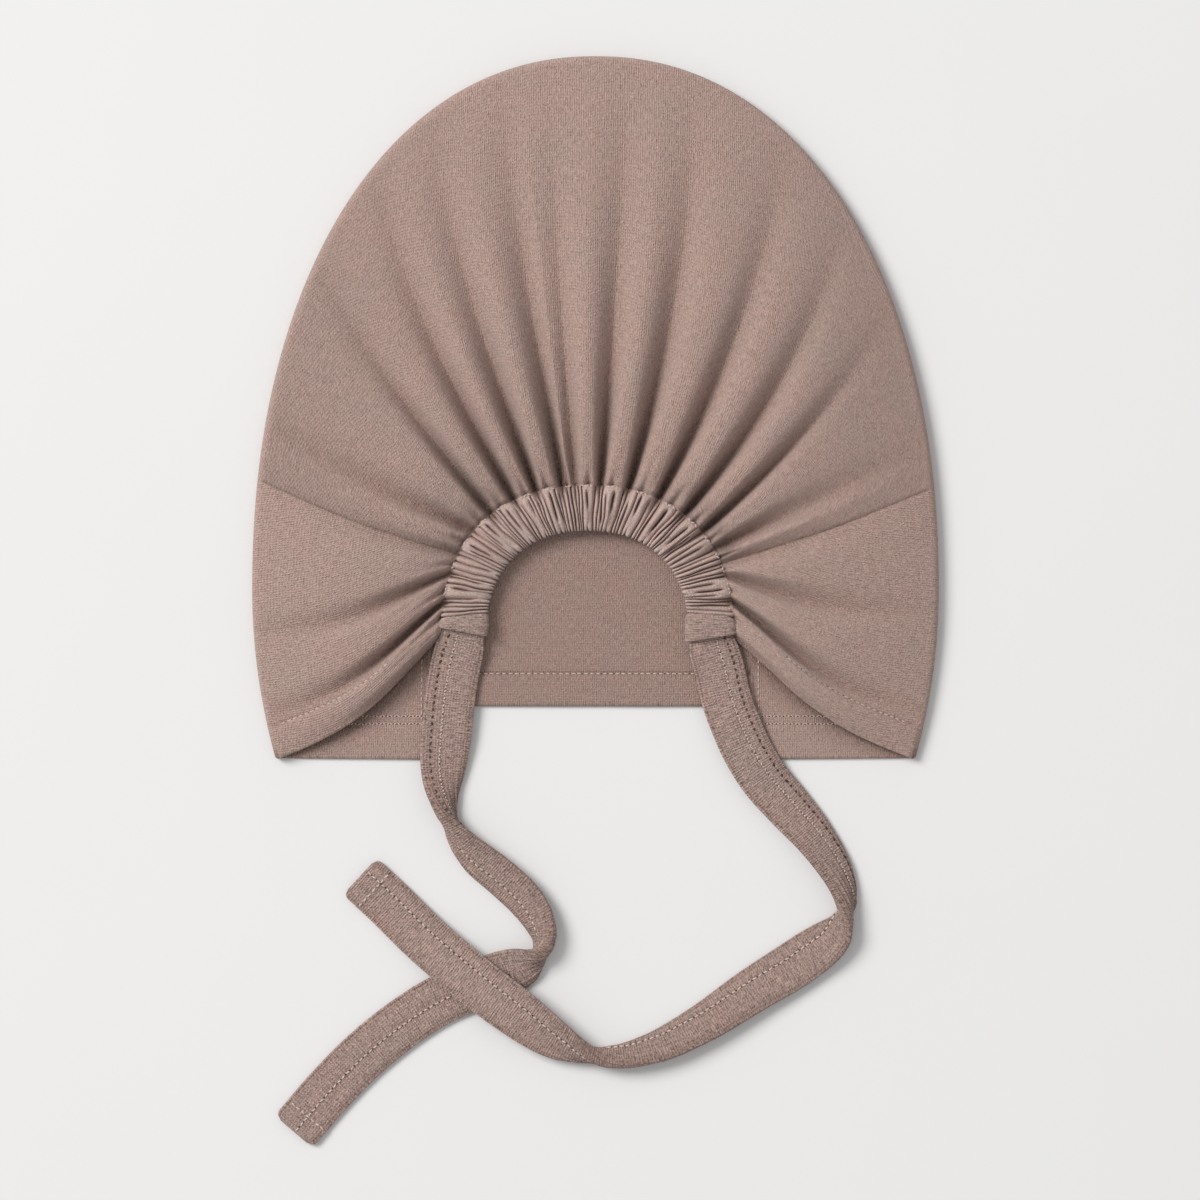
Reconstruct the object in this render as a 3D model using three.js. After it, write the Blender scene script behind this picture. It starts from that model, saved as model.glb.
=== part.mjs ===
import * as THREE from 'three';

// A knit under-cap that lies flat with its nape side up, in millimetres.
// +X runs to the right, +Y to the top of the crown, +Z up, and Z = 0 is the face that it rests on.
// Plan angles are degrees from +Y about the middle of the nape arch, positive to the right.
// Each piece leaves a narrow gap to the next one along their seams.

// Driving dimensions of the cap
const capWidth = 240;
const capHeight = 245;
const widestShare = 0.239;
const domeRoundness = 2.15;
const hemTaper = 8;
const clothThickness = 1.2;
const seamGap = 0.4;
const steepWallLimit = 0.42;
const seamSlant = 0.985;

// Nape arch and its gathered channel
const archMiddle = { x: -2.8, y: -78.75 };
const archHalfWidth = 35;
const archHeight = 35.2;
const archRoundness = 2.25;
const casingWidth = 16;
const casingFloor = 2.1;
const casingCrest = 8;
const stitchHeight = 7;
const ruffleCount = 58;
const ruffleDepth = 1.7;
const ruffleScallop = 0.7;
const casingOuterAngle = 84.2;
const casingInnerAngle = 79;

// Front of the cap, which is the layer that it lies on
const panelSeamX = 58.3;
const frontSeamY = -37;
const foreheadEdgeY = -103.8;
const foreheadHemWidth = 10.5;
const foreheadHemThickness = 1.8;

// Tie bands and the channel ends that they come out of
const tieWidth = 17.5;
const tieThickness = 2.2;
const tieNeckShare = 0.72;
const tieNeckStart = 5;
const tieNeckLength = 20;
const sleeveHeight = 5.2;
const pocketInset = 1.1;
const pocketShare = 0.68;
const sleeveEdgeRoundness = 0.45;
const sleeveFaceRoundness = 0.6;
const leftSleeve = { side: -1, outerLength: 4.2, outerLean: -0.2, innerLength: 9.4, innerLean: -1.5 };
const rightSleeve = { side: 1, outerLength: 6.2, outerLean: 0.2, innerLength: 10.2, innerLean: 0.5 };

// Folds: their depth below the ridges, the ridges' rise above the channel, the height of the cloth's
// fold at the outline, and how the heights run on the way from the channel to the outline
const foldDepth = 6.8;
const foldLoft = 9;
const rimHeight = 6;
const foldStart = 0.45;
const foldRise = 0.05;
const foldReach = 0.42;
const foldFading = 1.6;
const foldEnding = 4;
const ridgeFullness = 2.5;
const loftRise = 6;
const loftFall = 2.2;
const earlyTurn = 3.2;

// One row for each valley of the crown, from the left seam to the right one. Angles are where it leaves
// the channel and where it meets the outline, bend is 1 where it turns early and 0 where it turns late,
// and depth, loft and rim are shares of foldDepth, foldLoft and rimHeight.
const crownFolds = [
  { atCasing: -59.0, atRim: -65.5, bend: 1, depth: 0.22, loft: 0.67, rim: 0.93 },
  { atCasing: -48.5, atRim: -57.0, bend: 1, depth: 0.44, loft: 0.78, rim: 1.00 },
  { atCasing: -39.0, atRim: -37.5, bend: 0, depth: 0.81, loft: 0.89, rim: 1.00 },
  { atCasing: -29.0, atRim: -25.5, bend: 0, depth: 0.97, loft: 0.94, rim: 1.00 },
  { atCasing: -20.0, atRim: -17.5, bend: 0, depth: 0.94, loft: 0.98, rim: 1.00 },
  { atCasing: -10.0, atRim: -9.5, bend: 0, depth: 1.00, loft: 1.00, rim: 1.00 },
  { atCasing: -4.8, atRim: -4.0, bend: 0, depth: 0.47, loft: 1.00, rim: 1.00 },
  { atCasing: 5.0, atRim: 4.0, bend: 0, depth: 0.82, loft: 1.00, rim: 1.00 },
  { atCasing: 16.0, atRim: 10.5, bend: 0, depth: 1.00, loft: 0.98, rim: 1.00 },
  { atCasing: 28.0, atRim: 22.0, bend: 0, depth: 1.00, loft: 0.96, rim: 1.00 },
  { atCasing: 39.5, atRim: 32.0, bend: 0, depth: 0.97, loft: 0.91, rim: 1.00 },
  { atCasing: 49.0, atRim: 43.5, bend: 0, depth: 0.88, loft: 0.84, rim: 1.00 },
  { atCasing: 57.0, atRim: 61.0, bend: 1, depth: 0.50, loft: 0.73, rim: 0.97 },
  { atCasing: 63.0, atRim: 67.7, bend: 1, depth: 0.22, loft: 0.67, rim: 0.93 },
];

// The same columns for the flaps, from the hem's free edge to the seam with the crown or back.
const leftFlapFolds = [
  { atCasing: -91.9, atRim: -111.85, bend: 1, depth: 0.38, loft: 0.38, rim: 0.57 },
  { atCasing: -78.5, atRim: -104.0, bend: 1, depth: 0.68, loft: 0.60, rim: 0.73 },
  { atCasing: -67.0, atRim: -89.0, bend: 1, depth: 0.38, loft: 0.64, rim: 0.87 },
  { atCasing: -59.0, atRim: -65.5, bend: 1, depth: 0.22, loft: 0.67, rim: 0.93 },
];
const rightFlapFolds = [
  { atCasing: 63.0, atRim: 67.7, bend: 1, depth: 0.22, loft: 0.67, rim: 0.93 },
  { atCasing: 68.0, atRim: 86.0, bend: 1, depth: 0.38, loft: 0.64, rim: 0.87 },
  { atCasing: 78.0, atRim: 103.0, bend: 1, depth: 0.68, loft: 0.60, rim: 0.73 },
  { atCasing: 91.9, atRim: 110.85, bend: 1, depth: 0.38, loft: 0.38, rim: 0.57 },
];

// The bands' routes, measured from the middle of the sleeve's mouth. Roll turns the band about its own
// run, and lift raises it from the surface that it lies on.
const leftTieRoute = [
  { x: 0.2, y: 2.8, roll: 0, lift: 3.6 },
  { x: -0.3, y: -1.2, roll: 0, lift: 3.4 },
  { x: -2.4, y: -9.8, roll: 0, lift: 2.1 },
  { x: -4.5, y: -22.7, roll: 0, lift: 2.0 },
  { x: -5.6, y: -33.8, roll: 4, lift: 1.6 },
  { x: -6.8, y: -45.5, roll: 18, lift: 0.6 },
  { x: -7.2, y: -54.2, roll: 55, lift: 0 },
  { x: -5.5, y: -62.1, roll: 100, lift: 0 },
  { x: -1.0, y: -69.9, roll: 142, lift: 0 },
  { x: 5.3, y: -76.9, roll: 164, lift: 0 },
  { x: 14.7, y: -83.9, roll: 180, lift: 0 },
  { x: 22.4, y: -90.9, roll: 200, lift: 0 },
  { x: 27.3, y: -98.2, roll: 226, lift: 0 },
  { x: 28.5, y: -105.8, roll: 266, lift: 0 },
  { x: 25.8, y: -111.9, roll: 316, lift: 0 },
  { x: 19.6, y: -116.7, roll: 354, lift: 0 },
  { x: 11.6, y: -120.1, roll: 360, lift: 0 },
  { x: -7.3, y: -126.9, roll: 360, lift: 0 },
  { x: -19.9, y: -134.7, roll: 360, lift: 0 },
  { x: -33.6, y: -145.6, roll: 360, lift: 0 },
  { x: -46.2, y: -158.2, roll: 360, lift: 0 },
  { x: -59.1, y: -173.2, roll: 360, lift: 0 },
];
const rightTieRoute = [
  { x: -0.2, y: 3.9, roll: 0, lift: 3.6 },
  { x: 0.4, y: -0.8, roll: 0, lift: 3.4 },
  { x: 3.0, y: -9.8, roll: 0, lift: 2.1 },
  { x: 5.4, y: -20.2, roll: 0, lift: 2.0 },
  { x: 8.5, y: -28.9, roll: 2, lift: 1.8 },
  { x: 12.7, y: -38.4, roll: 6, lift: 1.6 },
  { x: 18.7, y: -48.2, roll: 14, lift: 0.8 },
  { x: 27.1, y: -58.0, roll: 26, lift: 0 },
  { x: 36.5, y: -69.1, roll: 42, lift: 0 },
  { x: 44.6, y: -82.1, roll: 66, lift: 0 },
  { x: 47.1, y: -93.7, roll: 94, lift: 0 },
  { x: 42.9, y: -103.1, roll: 124, lift: 0 },
  { x: 32.0, y: -111.4, roll: 150, lift: 0 },
  { x: 14.5, y: -122.4, roll: 168, lift: 0 },
  { x: -3.7, y: -134.3, roll: 186, lift: 0 },
  { x: -20.5, y: -142.5, roll: 222, lift: 0 },
  { x: -37.1, y: -145.5, roll: 262, lift: 0.4 },
  { x: -51.9, y: -140.7, roll: 318, lift: 2.4 },
  { x: -70.3, y: -128.1, roll: 354, lift: 4.6 },
  { x: -84.2, y: -117.5, roll: 360, lift: 3.8 },
  { x: -100.0, y: -104.2, roll: 360, lift: 1.2 },
  { x: -112.9, y: -91.6, roll: 360, lift: 0 },
  { x: -122.7, y: -82.5, roll: 360, lift: 0 },
];

// How finely the pieces are cut into flat faces
const ridgeShares = [0, 0.12, 0.3, 0.5, 0.7, 0.88];
const waySteps = [0, 0.06, 0.15, 0.3, 0.5, 0.76, 1];
const rimTurns = [50, 0, -50];
const tieSteps = 60;
const sleeveSides = 12;

const radians = THREE.MathUtils.degToRad;
const degrees = THREE.MathUtils.radToDeg;
const mix = THREE.MathUtils.lerp;
const knit = { color: 0x9e867c, roughness: 0.95, metalness: 0 };
const knitTie = { color: 0x977f75, roughness: 0.95, metalness: 0 };

// Plan outline of the cap: a dome above its widest line and a slight taper down to the hem
function halfWidthAt(y) {
  const widestY = capHeight * (widestShare - 0.5);
  if (y < widestY) {
    const down = (widestY - y) / (widestY + capHeight / 2);
    return capWidth / 2 - hemTaper * down * down;
  }
  const up = Math.min((y - widestY) / (capHeight / 2 - widestY), 1);
  return capWidth / 2 * Math.pow(1 - Math.pow(up, domeRoundness), 1 / domeRoundness);
}

function fromArch(angle, distance) {
  return new THREE.Vector2(
    archMiddle.x + distance * Math.sin(radians(angle)),
    archMiddle.y + distance * Math.cos(radians(angle)));
}

// Where the ray at a plan angle meets the outline
function outlinePoint(angle) {
  let near = archHalfWidth;
  let far = capHeight;
  for (let i = 0; i < 40; i += 1) {
    const middle = (near + far) / 2;
    const p = fromArch(angle, middle);
    const inside = p.y < capHeight / 2 && Math.abs(p.x) < halfWidthAt(p.y);
    near = inside ? middle : near;
    far = inside ? far : middle;
  }
  return fromArch(angle, near);
}

function outlineInward(angle) {
  const probe = 0.2;
  const along = outlinePoint(angle + probe).sub(outlinePoint(angle - probe)).normalize();
  return new THREE.Vector2(along.y, -along.x);
}

// Distance from the arch's middle to a rounded arch whose sides run straight down
function archDistance(angle, halfWidth, height) {
  const across = Math.abs(Math.sin(radians(angle))) / halfWidth;
  const up = Math.max(Math.cos(radians(angle)), 0) / height;
  const sum = Math.pow(across, archRoundness) + Math.pow(up, archRoundness);
  return Math.pow(sum, -1 / archRoundness);
}

function casingInner(angle) {
  return archDistance(angle, archHalfWidth, archHeight);
}

function casingOuter(angle) {
  return archDistance(angle, archHalfWidth + casingWidth, archHeight + casingWidth);
}

// A closed body from closed rings of points that run one after another, with both ends capped
function loft(rings) {
  const count = rings[0].length;
  const points = rings.flat();
  const faces = [];
  for (let i = 0; i + 1 < rings.length; i += 1) {
    for (let j = 0; j < count; j += 1) {
      const a = i * count + j;
      const b = i * count + (j + 1) % count;
      faces.push(a, a + count, b);
      faces.push(b, a + count, b + count);
    }
  }
  const last = (rings.length - 1) * count;
  for (const cap of capTriangles(rings[0])) {
    faces.push(cap[0], cap[1], cap[2]);
  }
  for (const cap of capTriangles(rings[rings.length - 1])) {
    faces.push(last + cap[0], last + cap[2], last + cap[1]);
  }
  const geometry = new THREE.BufferGeometry();
  geometry.setAttribute('position', new THREE.Float32BufferAttribute(points.flat(), 3));
  geometry.setIndex(faces);
  geometry.computeVertexNormals();
  return geometry;
}

// Triangles that fill a ring, found in the ring's own plane
function capTriangles(ring) {
  const corners = ring.map((p) => new THREE.Vector3(...p));
  const normal = new THREE.Vector3();
  corners.forEach((p, i) => {
    const next = corners[(i + 1) % corners.length];
    normal.add(new THREE.Vector3().crossVectors(p, next));
  });
  normal.normalize();
  const side = Math.abs(normal.z) < 0.9 ? new THREE.Vector3(0, 0, 1) : new THREE.Vector3(1, 0, 0);
  const first = new THREE.Vector3().crossVectors(side, normal).normalize();
  const second = new THREE.Vector3().crossVectors(normal, first);
  const flat = corners.map((p) => new THREE.Vector2(p.dot(first), p.dot(second)));
  return THREE.ShapeUtils.triangulateShape(flat, []);
}

// Columns of a panel, each one a line from the channel to the outline, with how deep it lies there
function panelColumns(folds) {
  const columns = [];
  folds.slice(0, -1).forEach((fold, i) => {
    const next = folds[i + 1];
    const shares = i === folds.length - 2 ? [...ridgeShares, 1] : ridgeShares;
    for (const share of shares) {
      const valley = share < 0.5 ? fold.depth : next.depth;
      columns.push({
        atCasing: mix(fold.atCasing, next.atCasing, share),
        atRim: mix(fold.atRim, next.atRim, share),
        bend: mix(fold.bend, next.bend, share),
        depth: foldDepth * valley * Math.pow(Math.abs(2 * share - 1), ridgeFullness),
        loft: foldLoft * mix(fold.loft, next.loft, share),
        rim: rimHeight * mix(fold.rim, next.rim, share),
        shift: 0,
      });
    }
  });
  columns[0].shift = seamGap / 2;
  columns[columns.length - 1].shift = -seamGap / 2;
  return columns;
}

// Height of the upper face along a column, where way is 0 at the channel and 1 at the outline fold
function upperHeight(column, way) {
  const bulge = (1 - Math.pow(1 - way, loftRise)) * (1 - Math.pow(way, loftFall));
  const ridge = mix(stitchHeight, column.rim, way) + column.loft * bulge;
  const rise = foldStart + (1 - foldStart) * (1 - Math.exp(-way / foldRise));
  const fade = (1 - Math.pow(way, foldEnding)) / (1 + Math.pow(way / foldReach, foldFading));
  return ridge - column.depth * rise * fade;
}

function upperPlace(column, way) {
  const radius = column.rim / 2;
  const foldMiddle = outlinePoint(column.atRim).addScaledVector(outlineInward(column.atRim), radius);
  const start = casingOuter(column.atCasing) + seamGap;
  const dx = foldMiddle.x - archMiddle.x;
  const dy = foldMiddle.y - archMiddle.y;
  const rimAngle = degrees(Math.atan2(dx, dy));
  const distance = mix(start, Math.hypot(dx, dy), way);
  const late = way * way;
  const early = 1 - Math.pow(1 - way, earlyTurn);
  const turn = mix(late, early, column.bend);
  const angle = mix(column.atCasing, rimAngle, turn) + degrees(column.shift / distance);
  return fromArch(angle, distance);
}

// A panel's closed wall: the upper layer, the fold at the outline and the layer that it lies on, with
// the inner face below the outer one by the cloth's thickness. underEnd gives the under layer's end.
function panelGeometry(folds, underEnd) {
  const columns = panelColumns(folds);
  const upper = columns.map((column) => waySteps.map((way) => {
    const place = upperPlace(column, way);
    return new THREE.Vector3(place.x, place.y, upperHeight(column, way));
  }));
  const rings = columns.map((column, i) => {
    const outer = [];
    const inner = [];
    upper[i].forEach((point, j) => {
      const drop = clothThickness / uprightShare(upper, i, j);
      outer.push([point.x, point.y, point.z]);
      inner.push([point.x, point.y, point.z - drop]);
    });
    const radius = column.rim / 2;
    const middle = upper[i][waySteps.length - 1];
    const inward = outlineInward(column.atRim);
    for (const turn of [...rimTurns, -90]) {
      const out = Math.cos(radians(turn));
      const up = Math.sin(radians(turn));
      for (const [list, size] of [[outer, radius], [inner, radius - clothThickness]]) {
        list.push([middle.x - inward.x * out * size, middle.y - inward.y * out * size, radius + up * size]);
      }
    }
    const end = underEnd(middle, i / (columns.length - 1));
    outer.push([end.x, end.y, 0]);
    inner.push([end.x, end.y, clothThickness]);
    return [...outer, ...inner.reverse()];
  });
  return loft(rings);
}

// How upright the cloth's face is at a grid point, which keeps steep walls as thick as flat ones
function uprightShare(grid, i, j) {
  const rows = grid[0].length - 1;
  if (j === rows) {
    return 1;
  }
  const across = grid[Math.min(i + 1, grid.length - 1)][j].clone().sub(grid[Math.max(i - 1, 0)][j]);
  const along = grid[i][Math.min(j + 1, rows)].clone().sub(grid[i][Math.max(j - 1, 0)]);
  const normal = across.cross(along).normalize();
  return Math.max(Math.abs(normal.z), steepWallLimit);
}

// The crown's under layer ends on the front seam, which runs level and then rises to both side seams
function frontSeamAt(x, sideAngle) {
  const side = outlinePoint(sideAngle);
  const share = Math.max((Math.abs(x) - panelSeamX) / (Math.abs(side.x) - panelSeamX), 0);
  return mix(frontSeamY, side.y, Math.min(share, 1));
}

const leftSeamAngle = crownFolds[0].atRim;
const rightSeamAngle = crownFolds[crownFolds.length - 1].atRim;

function crownGeometry() {
  return panelGeometry(crownFolds, (rim) => {
    const x = rim.x * seamSlant;
    const y = frontSeamAt(x, x < 0 ? leftSeamAngle : rightSeamAngle) + seamGap / 2;
    return new THREE.Vector2(x, Math.min(y, rim.y - seamGap));
  });
}

// A flap's under layer ends on the upright seam beside the forehead panel
function flapGeometry(folds, side) {
  const hemCorner = outlinePoint(folds[side < 0 ? 0 : folds.length - 1].atRim);
  return panelGeometry(folds, (rim, share) => {
    const down = side < 0 ? 1 - share : share;
    const y = mix(frontSeamY - seamGap / 2, hemCorner.y, down);
    return new THREE.Vector2(side * (panelSeamX + seamGap / 2), y);
  });
}

// The forehead panel lies flat, with its lower edge turned up once into a hem
function foreheadGeometry() {
  const hemTop = foreheadEdgeY + foreheadHemWidth;
  const section = new THREE.Shape([
    new THREE.Vector2(frontSeamY - seamGap / 2, 0),
    new THREE.Vector2(frontSeamY - seamGap / 2, clothThickness),
    new THREE.Vector2(hemTop + clothThickness, clothThickness),
    new THREE.Vector2(hemTop, foreheadHemThickness),
    new THREE.Vector2(foreheadEdgeY, foreheadHemThickness),
    new THREE.Vector2(foreheadEdgeY, 0),
  ]);
  const width = 2 * panelSeamX - seamGap;
  const geometry = new THREE.ExtrudeGeometry(section, { depth: width, bevelEnabled: false });
  geometry.applyMatrix4(new THREE.Matrix4().makeBasis(
    new THREE.Vector3(0, 1, 0), new THREE.Vector3(0, 0, 1), new THREE.Vector3(1, 0, 0)));
  geometry.translate(-width / 2, 0, 0);
  return geometry;
}

// The channel is an open fold of cloth round the arch, thrown into small ruffles. Across is 0 at the
// arch's edge and 1 at the stitch line, rise is 0 at the channel's floor and 1 at its crest, wall moves a
// row by that many cloth thicknesses, and pinch is the share of the ruffles' depth that it drops by.
const casingSection = [
  { across: 1.0, rise: 0.76, wall: -1, pinch: 0.3 },
  { across: 0.55, rise: 0.94, wall: -1, pinch: 0.8 },
  { across: 0.18, rise: 0.07, wall: 1, pinch: 0 },
  { across: 1.0, rise: 0.0, wall: 1, pinch: 0 },
  { across: 1.0, rise: 0.0, wall: 0, pinch: 0 },
  { across: 0.12, rise: 0.03, wall: 0, pinch: 0 },
  { across: 0.0, rise: 0.42, wall: 0, pinch: 0 },
  { across: 0.12, rise: 0.88, wall: 0, pinch: 0.8 },
  { across: 0.55, rise: 1.0, wall: 0, pinch: 1.0 },
  { across: 1.0, rise: 0.76, wall: 0, pinch: 0.3 },
];

function casingGeometry() {
  const rings = [];
  for (let i = 0; i <= 2 * ruffleCount; i += 1) {
    const turn = i / ruffleCount - 1;
    const valley = i % 2 === 0 ? 1 : 0;
    const innerAngle = casingInnerAngle * turn;
    const outerAngle = casingOuterAngle * turn;
    const scallop = ruffleScallop * valley;
    const inner = fromArch(innerAngle, casingInner(innerAngle) + scallop);
    const outer = fromArch(outerAngle, casingOuter(outerAngle));
    rings.push(casingSection.map((row) => {
      const place = inner.clone().lerp(outer, row.across);
      const height = mix(casingFloor, casingCrest, row.rise) + row.wall * clothThickness;
      return [place.x, place.y, height - valley * ruffleDepth * row.pinch];
    }));
  }
  return loft(rings);
}

function rounded(value, power) {
  return Math.sign(value) * Math.pow(Math.abs(value), power);
}

// A flat ring of the channel's end between two plan points, drawn in from them by an inset
function sleeveRing(from, to, inset) {
  const along = to.clone().sub(from);
  const middle = from.clone().lerp(to, 0.5);
  const halfWidth = along.length() / 2 - inset;
  const halfHeight = sleeveHeight / 2 - inset;
  along.normalize();
  const ring = [];
  for (let i = 0; i < sleeveSides; i += 1) {
    const angle = 2 * Math.PI * i / sleeveSides;
    const across = halfWidth * rounded(Math.cos(angle), sleeveEdgeRoundness);
    const up = halfHeight * rounded(Math.sin(angle), sleeveFaceRoundness);
    ring.push([
      middle.x + along.x * across,
      middle.y + along.y * across,
      casingFloor + sleeveHeight / 2 + up,
    ]);
  }
  return ring;
}

// Plan corners of a channel end: it starts below the end of the gathers, and its outer and inner edges
// run down to the mouth by their own lengths and lean along X by their own amounts
function sleeveCorners(end) {
  const outerTop = fromArch(end.side * casingOuterAngle, casingOuter(casingOuterAngle));
  const innerTop = fromArch(end.side * casingInnerAngle, casingInner(casingInnerAngle));
  outerTop.add(new THREE.Vector2(-end.side * seamGap, -2 * seamGap));
  innerTop.add(new THREE.Vector2(0, -2 * seamGap));
  const outerMouth = outerTop.clone().add(new THREE.Vector2(end.outerLean, -end.outerLength));
  const innerMouth = innerTop.clone().add(new THREE.Vector2(end.innerLean, -end.innerLength));
  return { outerTop, innerTop, outerMouth, innerMouth };
}

// The channel's end is a flat sleeve, closed at the channel and open at its mouth
function sleeveGeometry(end) {
  const corners = sleeveCorners(end);
  const ring = (share, inset) => {
    const outer = corners.outerTop.clone().lerp(corners.outerMouth, share);
    const inner = corners.innerTop.clone().lerp(corners.innerMouth, share);
    return end.side < 0 ? sleeveRing(inner, outer, inset) : sleeveRing(outer, inner, inset);
  };
  return loft([
    ring(0, 0),
    ring(0.5, 0),
    ring(1, 0),
    ring(1, pocketInset),
    ring(1 - pocketShare, pocketInset),
  ]);
}

// Flat section of the band as shares of half its width and half its thickness
const tieSection = [
  { across: 1, up: 0 },
  { across: 0.9, up: 0.85 },
  { across: 0, up: 1 },
  { across: -0.9, up: 0.85 },
  { across: -1, up: 0 },
  { across: -0.9, up: -0.85 },
  { across: 0, up: -1 },
  { across: 0.9, up: -0.85 },
];

function tieGeometry(route, end) {
  const corners = sleeveCorners(end);
  const mouth = corners.outerMouth.lerp(corners.innerMouth, 0.5);
  const plan = new THREE.CatmullRomCurve3(
    route.map((p) => new THREE.Vector3(mouth.x + p.x, mouth.y + p.y, 0)), false, 'centripetal');
  const turning = new THREE.CatmullRomCurve3(
    route.map((p) => new THREE.Vector3(p.roll, p.lift, 0)), false, 'catmullrom', 0.5);
  const rings = [];
  let travelled = 0;
  let before = plan.getPoint(0);
  for (let i = 0; i <= tieSteps; i += 1) {
    const share = i / tieSteps;
    const place = plan.getPoint(share);
    const heading = plan.getTangent(share);
    const state = turning.getPoint(share);
    travelled += place.distanceTo(before);
    before = place;
    const neck = THREE.MathUtils.clamp((travelled - tieNeckStart) / tieNeckLength, 0, 1);
    const halfWidth = tieWidth / 2 * mix(tieNeckShare, 1, neck * (2 - neck));
    const roll = radians(state.x);
    const height = halfWidth * Math.abs(Math.sin(roll)) + tieThickness / 2 * Math.abs(Math.cos(roll));
    const middle = Math.max(height, tieThickness / 2) + Math.max(state.y, 0);
    // The band's right edge, looking along it, rises as it rolls
    const right = new THREE.Vector3(heading.y, -heading.x, 0).normalize();
    const acrossAxis = right.clone().multiplyScalar(Math.cos(roll)).setZ(Math.sin(roll));
    const upAxis = right.clone().multiplyScalar(-Math.sin(roll)).setZ(Math.cos(roll));
    rings.push(tieSection.map((corner) => {
      const p = new THREE.Vector3(place.x, place.y, middle);
      p.addScaledVector(acrossAxis, corner.across * halfWidth);
      p.addScaledVector(upAxis, corner.up * tieThickness / 2);
      return p.toArray();
    }));
  }
  return loft(rings);
}

function piece(name, geometry, look) {
  const mesh = new THREE.Mesh(geometry, new THREE.MeshStandardMaterial(look));
  mesh.name = name;
  return mesh;
}

const cap = new THREE.Group();
cap.add(piece('crown', crownGeometry(), knit));
cap.add(piece('side_panel_left', flapGeometry(leftFlapFolds, -1), knit));
cap.add(piece('side_panel_right', flapGeometry(rightFlapFolds, 1), knit));
cap.add(piece('forehead_panel', foreheadGeometry(), knit));
cap.add(piece('gathered_casing', casingGeometry(), knit));
cap.add(piece('casing_end_left', sleeveGeometry(leftSleeve), knit));
cap.add(piece('casing_end_right', sleeveGeometry(rightSleeve), knit));
cap.add(piece('tie_left', tieGeometry(leftTieRoute, leftSleeve), knitTie));
cap.add(piece('tie_right', tieGeometry(rightTieRoute, rightSleeve), knitTie));

export default cap;
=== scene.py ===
import math
import random

import bpy
import numpy as np
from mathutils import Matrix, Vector, noise


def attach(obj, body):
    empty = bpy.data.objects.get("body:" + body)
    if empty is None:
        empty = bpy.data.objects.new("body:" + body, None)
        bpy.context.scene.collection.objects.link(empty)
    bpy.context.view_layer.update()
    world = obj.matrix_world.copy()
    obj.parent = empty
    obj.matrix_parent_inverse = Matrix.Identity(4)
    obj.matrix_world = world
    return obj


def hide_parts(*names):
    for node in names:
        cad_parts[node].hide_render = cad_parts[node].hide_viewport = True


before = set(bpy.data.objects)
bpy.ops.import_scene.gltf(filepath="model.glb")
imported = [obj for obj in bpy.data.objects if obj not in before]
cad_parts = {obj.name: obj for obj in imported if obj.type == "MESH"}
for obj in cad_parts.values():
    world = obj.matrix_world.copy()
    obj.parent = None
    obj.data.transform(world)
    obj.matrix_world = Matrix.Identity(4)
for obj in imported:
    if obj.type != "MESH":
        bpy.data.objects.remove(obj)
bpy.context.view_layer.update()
mm = 0.001  # all sizes below are in millimetres and go into meshes through this
scene = bpy.context.scene
print("frame loaded with", len(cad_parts), "cloth pieces")


# small helpers

def mix(a, b, share):
    return a + (b - a) * share


def smooth(low, high, value):
    # soft step from 0 at low to 1 at high, for numbers and arrays
    share = np.clip((value - low) / (high - low), 0, 1)
    return share * share * (3 - 2 * share)


def bell(offset, width, power=2):
    # 1 at no offset, sinking to 0 within a few widths
    return np.exp(-np.abs(offset / width) ** power)


def crowded(share, strength):
    # even shares moved towards both ends of their span
    return mix(share, 0.5 - 0.5 * math.cos(math.pi * share), strength)


def unit(vectors):
    length = np.linalg.norm(vectors, axis=-1, keepdims=True)
    return vectors / np.maximum(length, 1e-9)


def noiseAt(*place):
    return noise.noise(Vector(place))


def noiseIn(size, x, y, seed):
    return noiseAt(x / size[0], y / size[1], seed)


def runLengths(points, axis=0):
    # length so far along a line, or along one axis of a grid
    steps = np.linalg.norm(np.diff(points, axis=axis), axis=-1)
    return np.insert(np.cumsum(steps, axis=axis), 0, 0, axis=axis)


def pointOn(line, lengths, place):
    return np.array([np.interp(place, lengths, line[:, c]) for c in range(3)])


def addPiece(name, points, faces, uvs, material, paintedShadings=None, node=None):
    # one mesh object in metres, smooth shaded, riding on the cap's only body
    mesh = bpy.data.meshes.new(name)
    mesh.from_pydata((np.asarray(points) * mm).tolist(), [], faces)
    mesh.polygons.foreach_set("use_smooth", [True] * len(mesh.polygons))
    corners = np.empty(len(mesh.loops), dtype=np.int32)
    mesh.loops.foreach_get("vertex_index", corners)
    layer = mesh.uv_layers.new(name="knit")
    layer.data.foreach_set("uv", np.asarray(uvs, dtype=np.float32)[corners].ravel())
    # a per-point attribute of painted shade, and of painted highlight where it is below zero
    if paintedShadings is not None:
        shade = mesh.attributes.new("paintedShading", "FLOAT", "POINT")
        shade.data.foreach_set("value", np.asarray(paintedShadings, dtype=np.float32))
    mesh.materials.append(material)
    piece = bpy.data.objects.new(name, mesh)
    scene.collection.objects.link(piece)
    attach(piece, "root")
    if node:
        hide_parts(node)
    return piece


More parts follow.
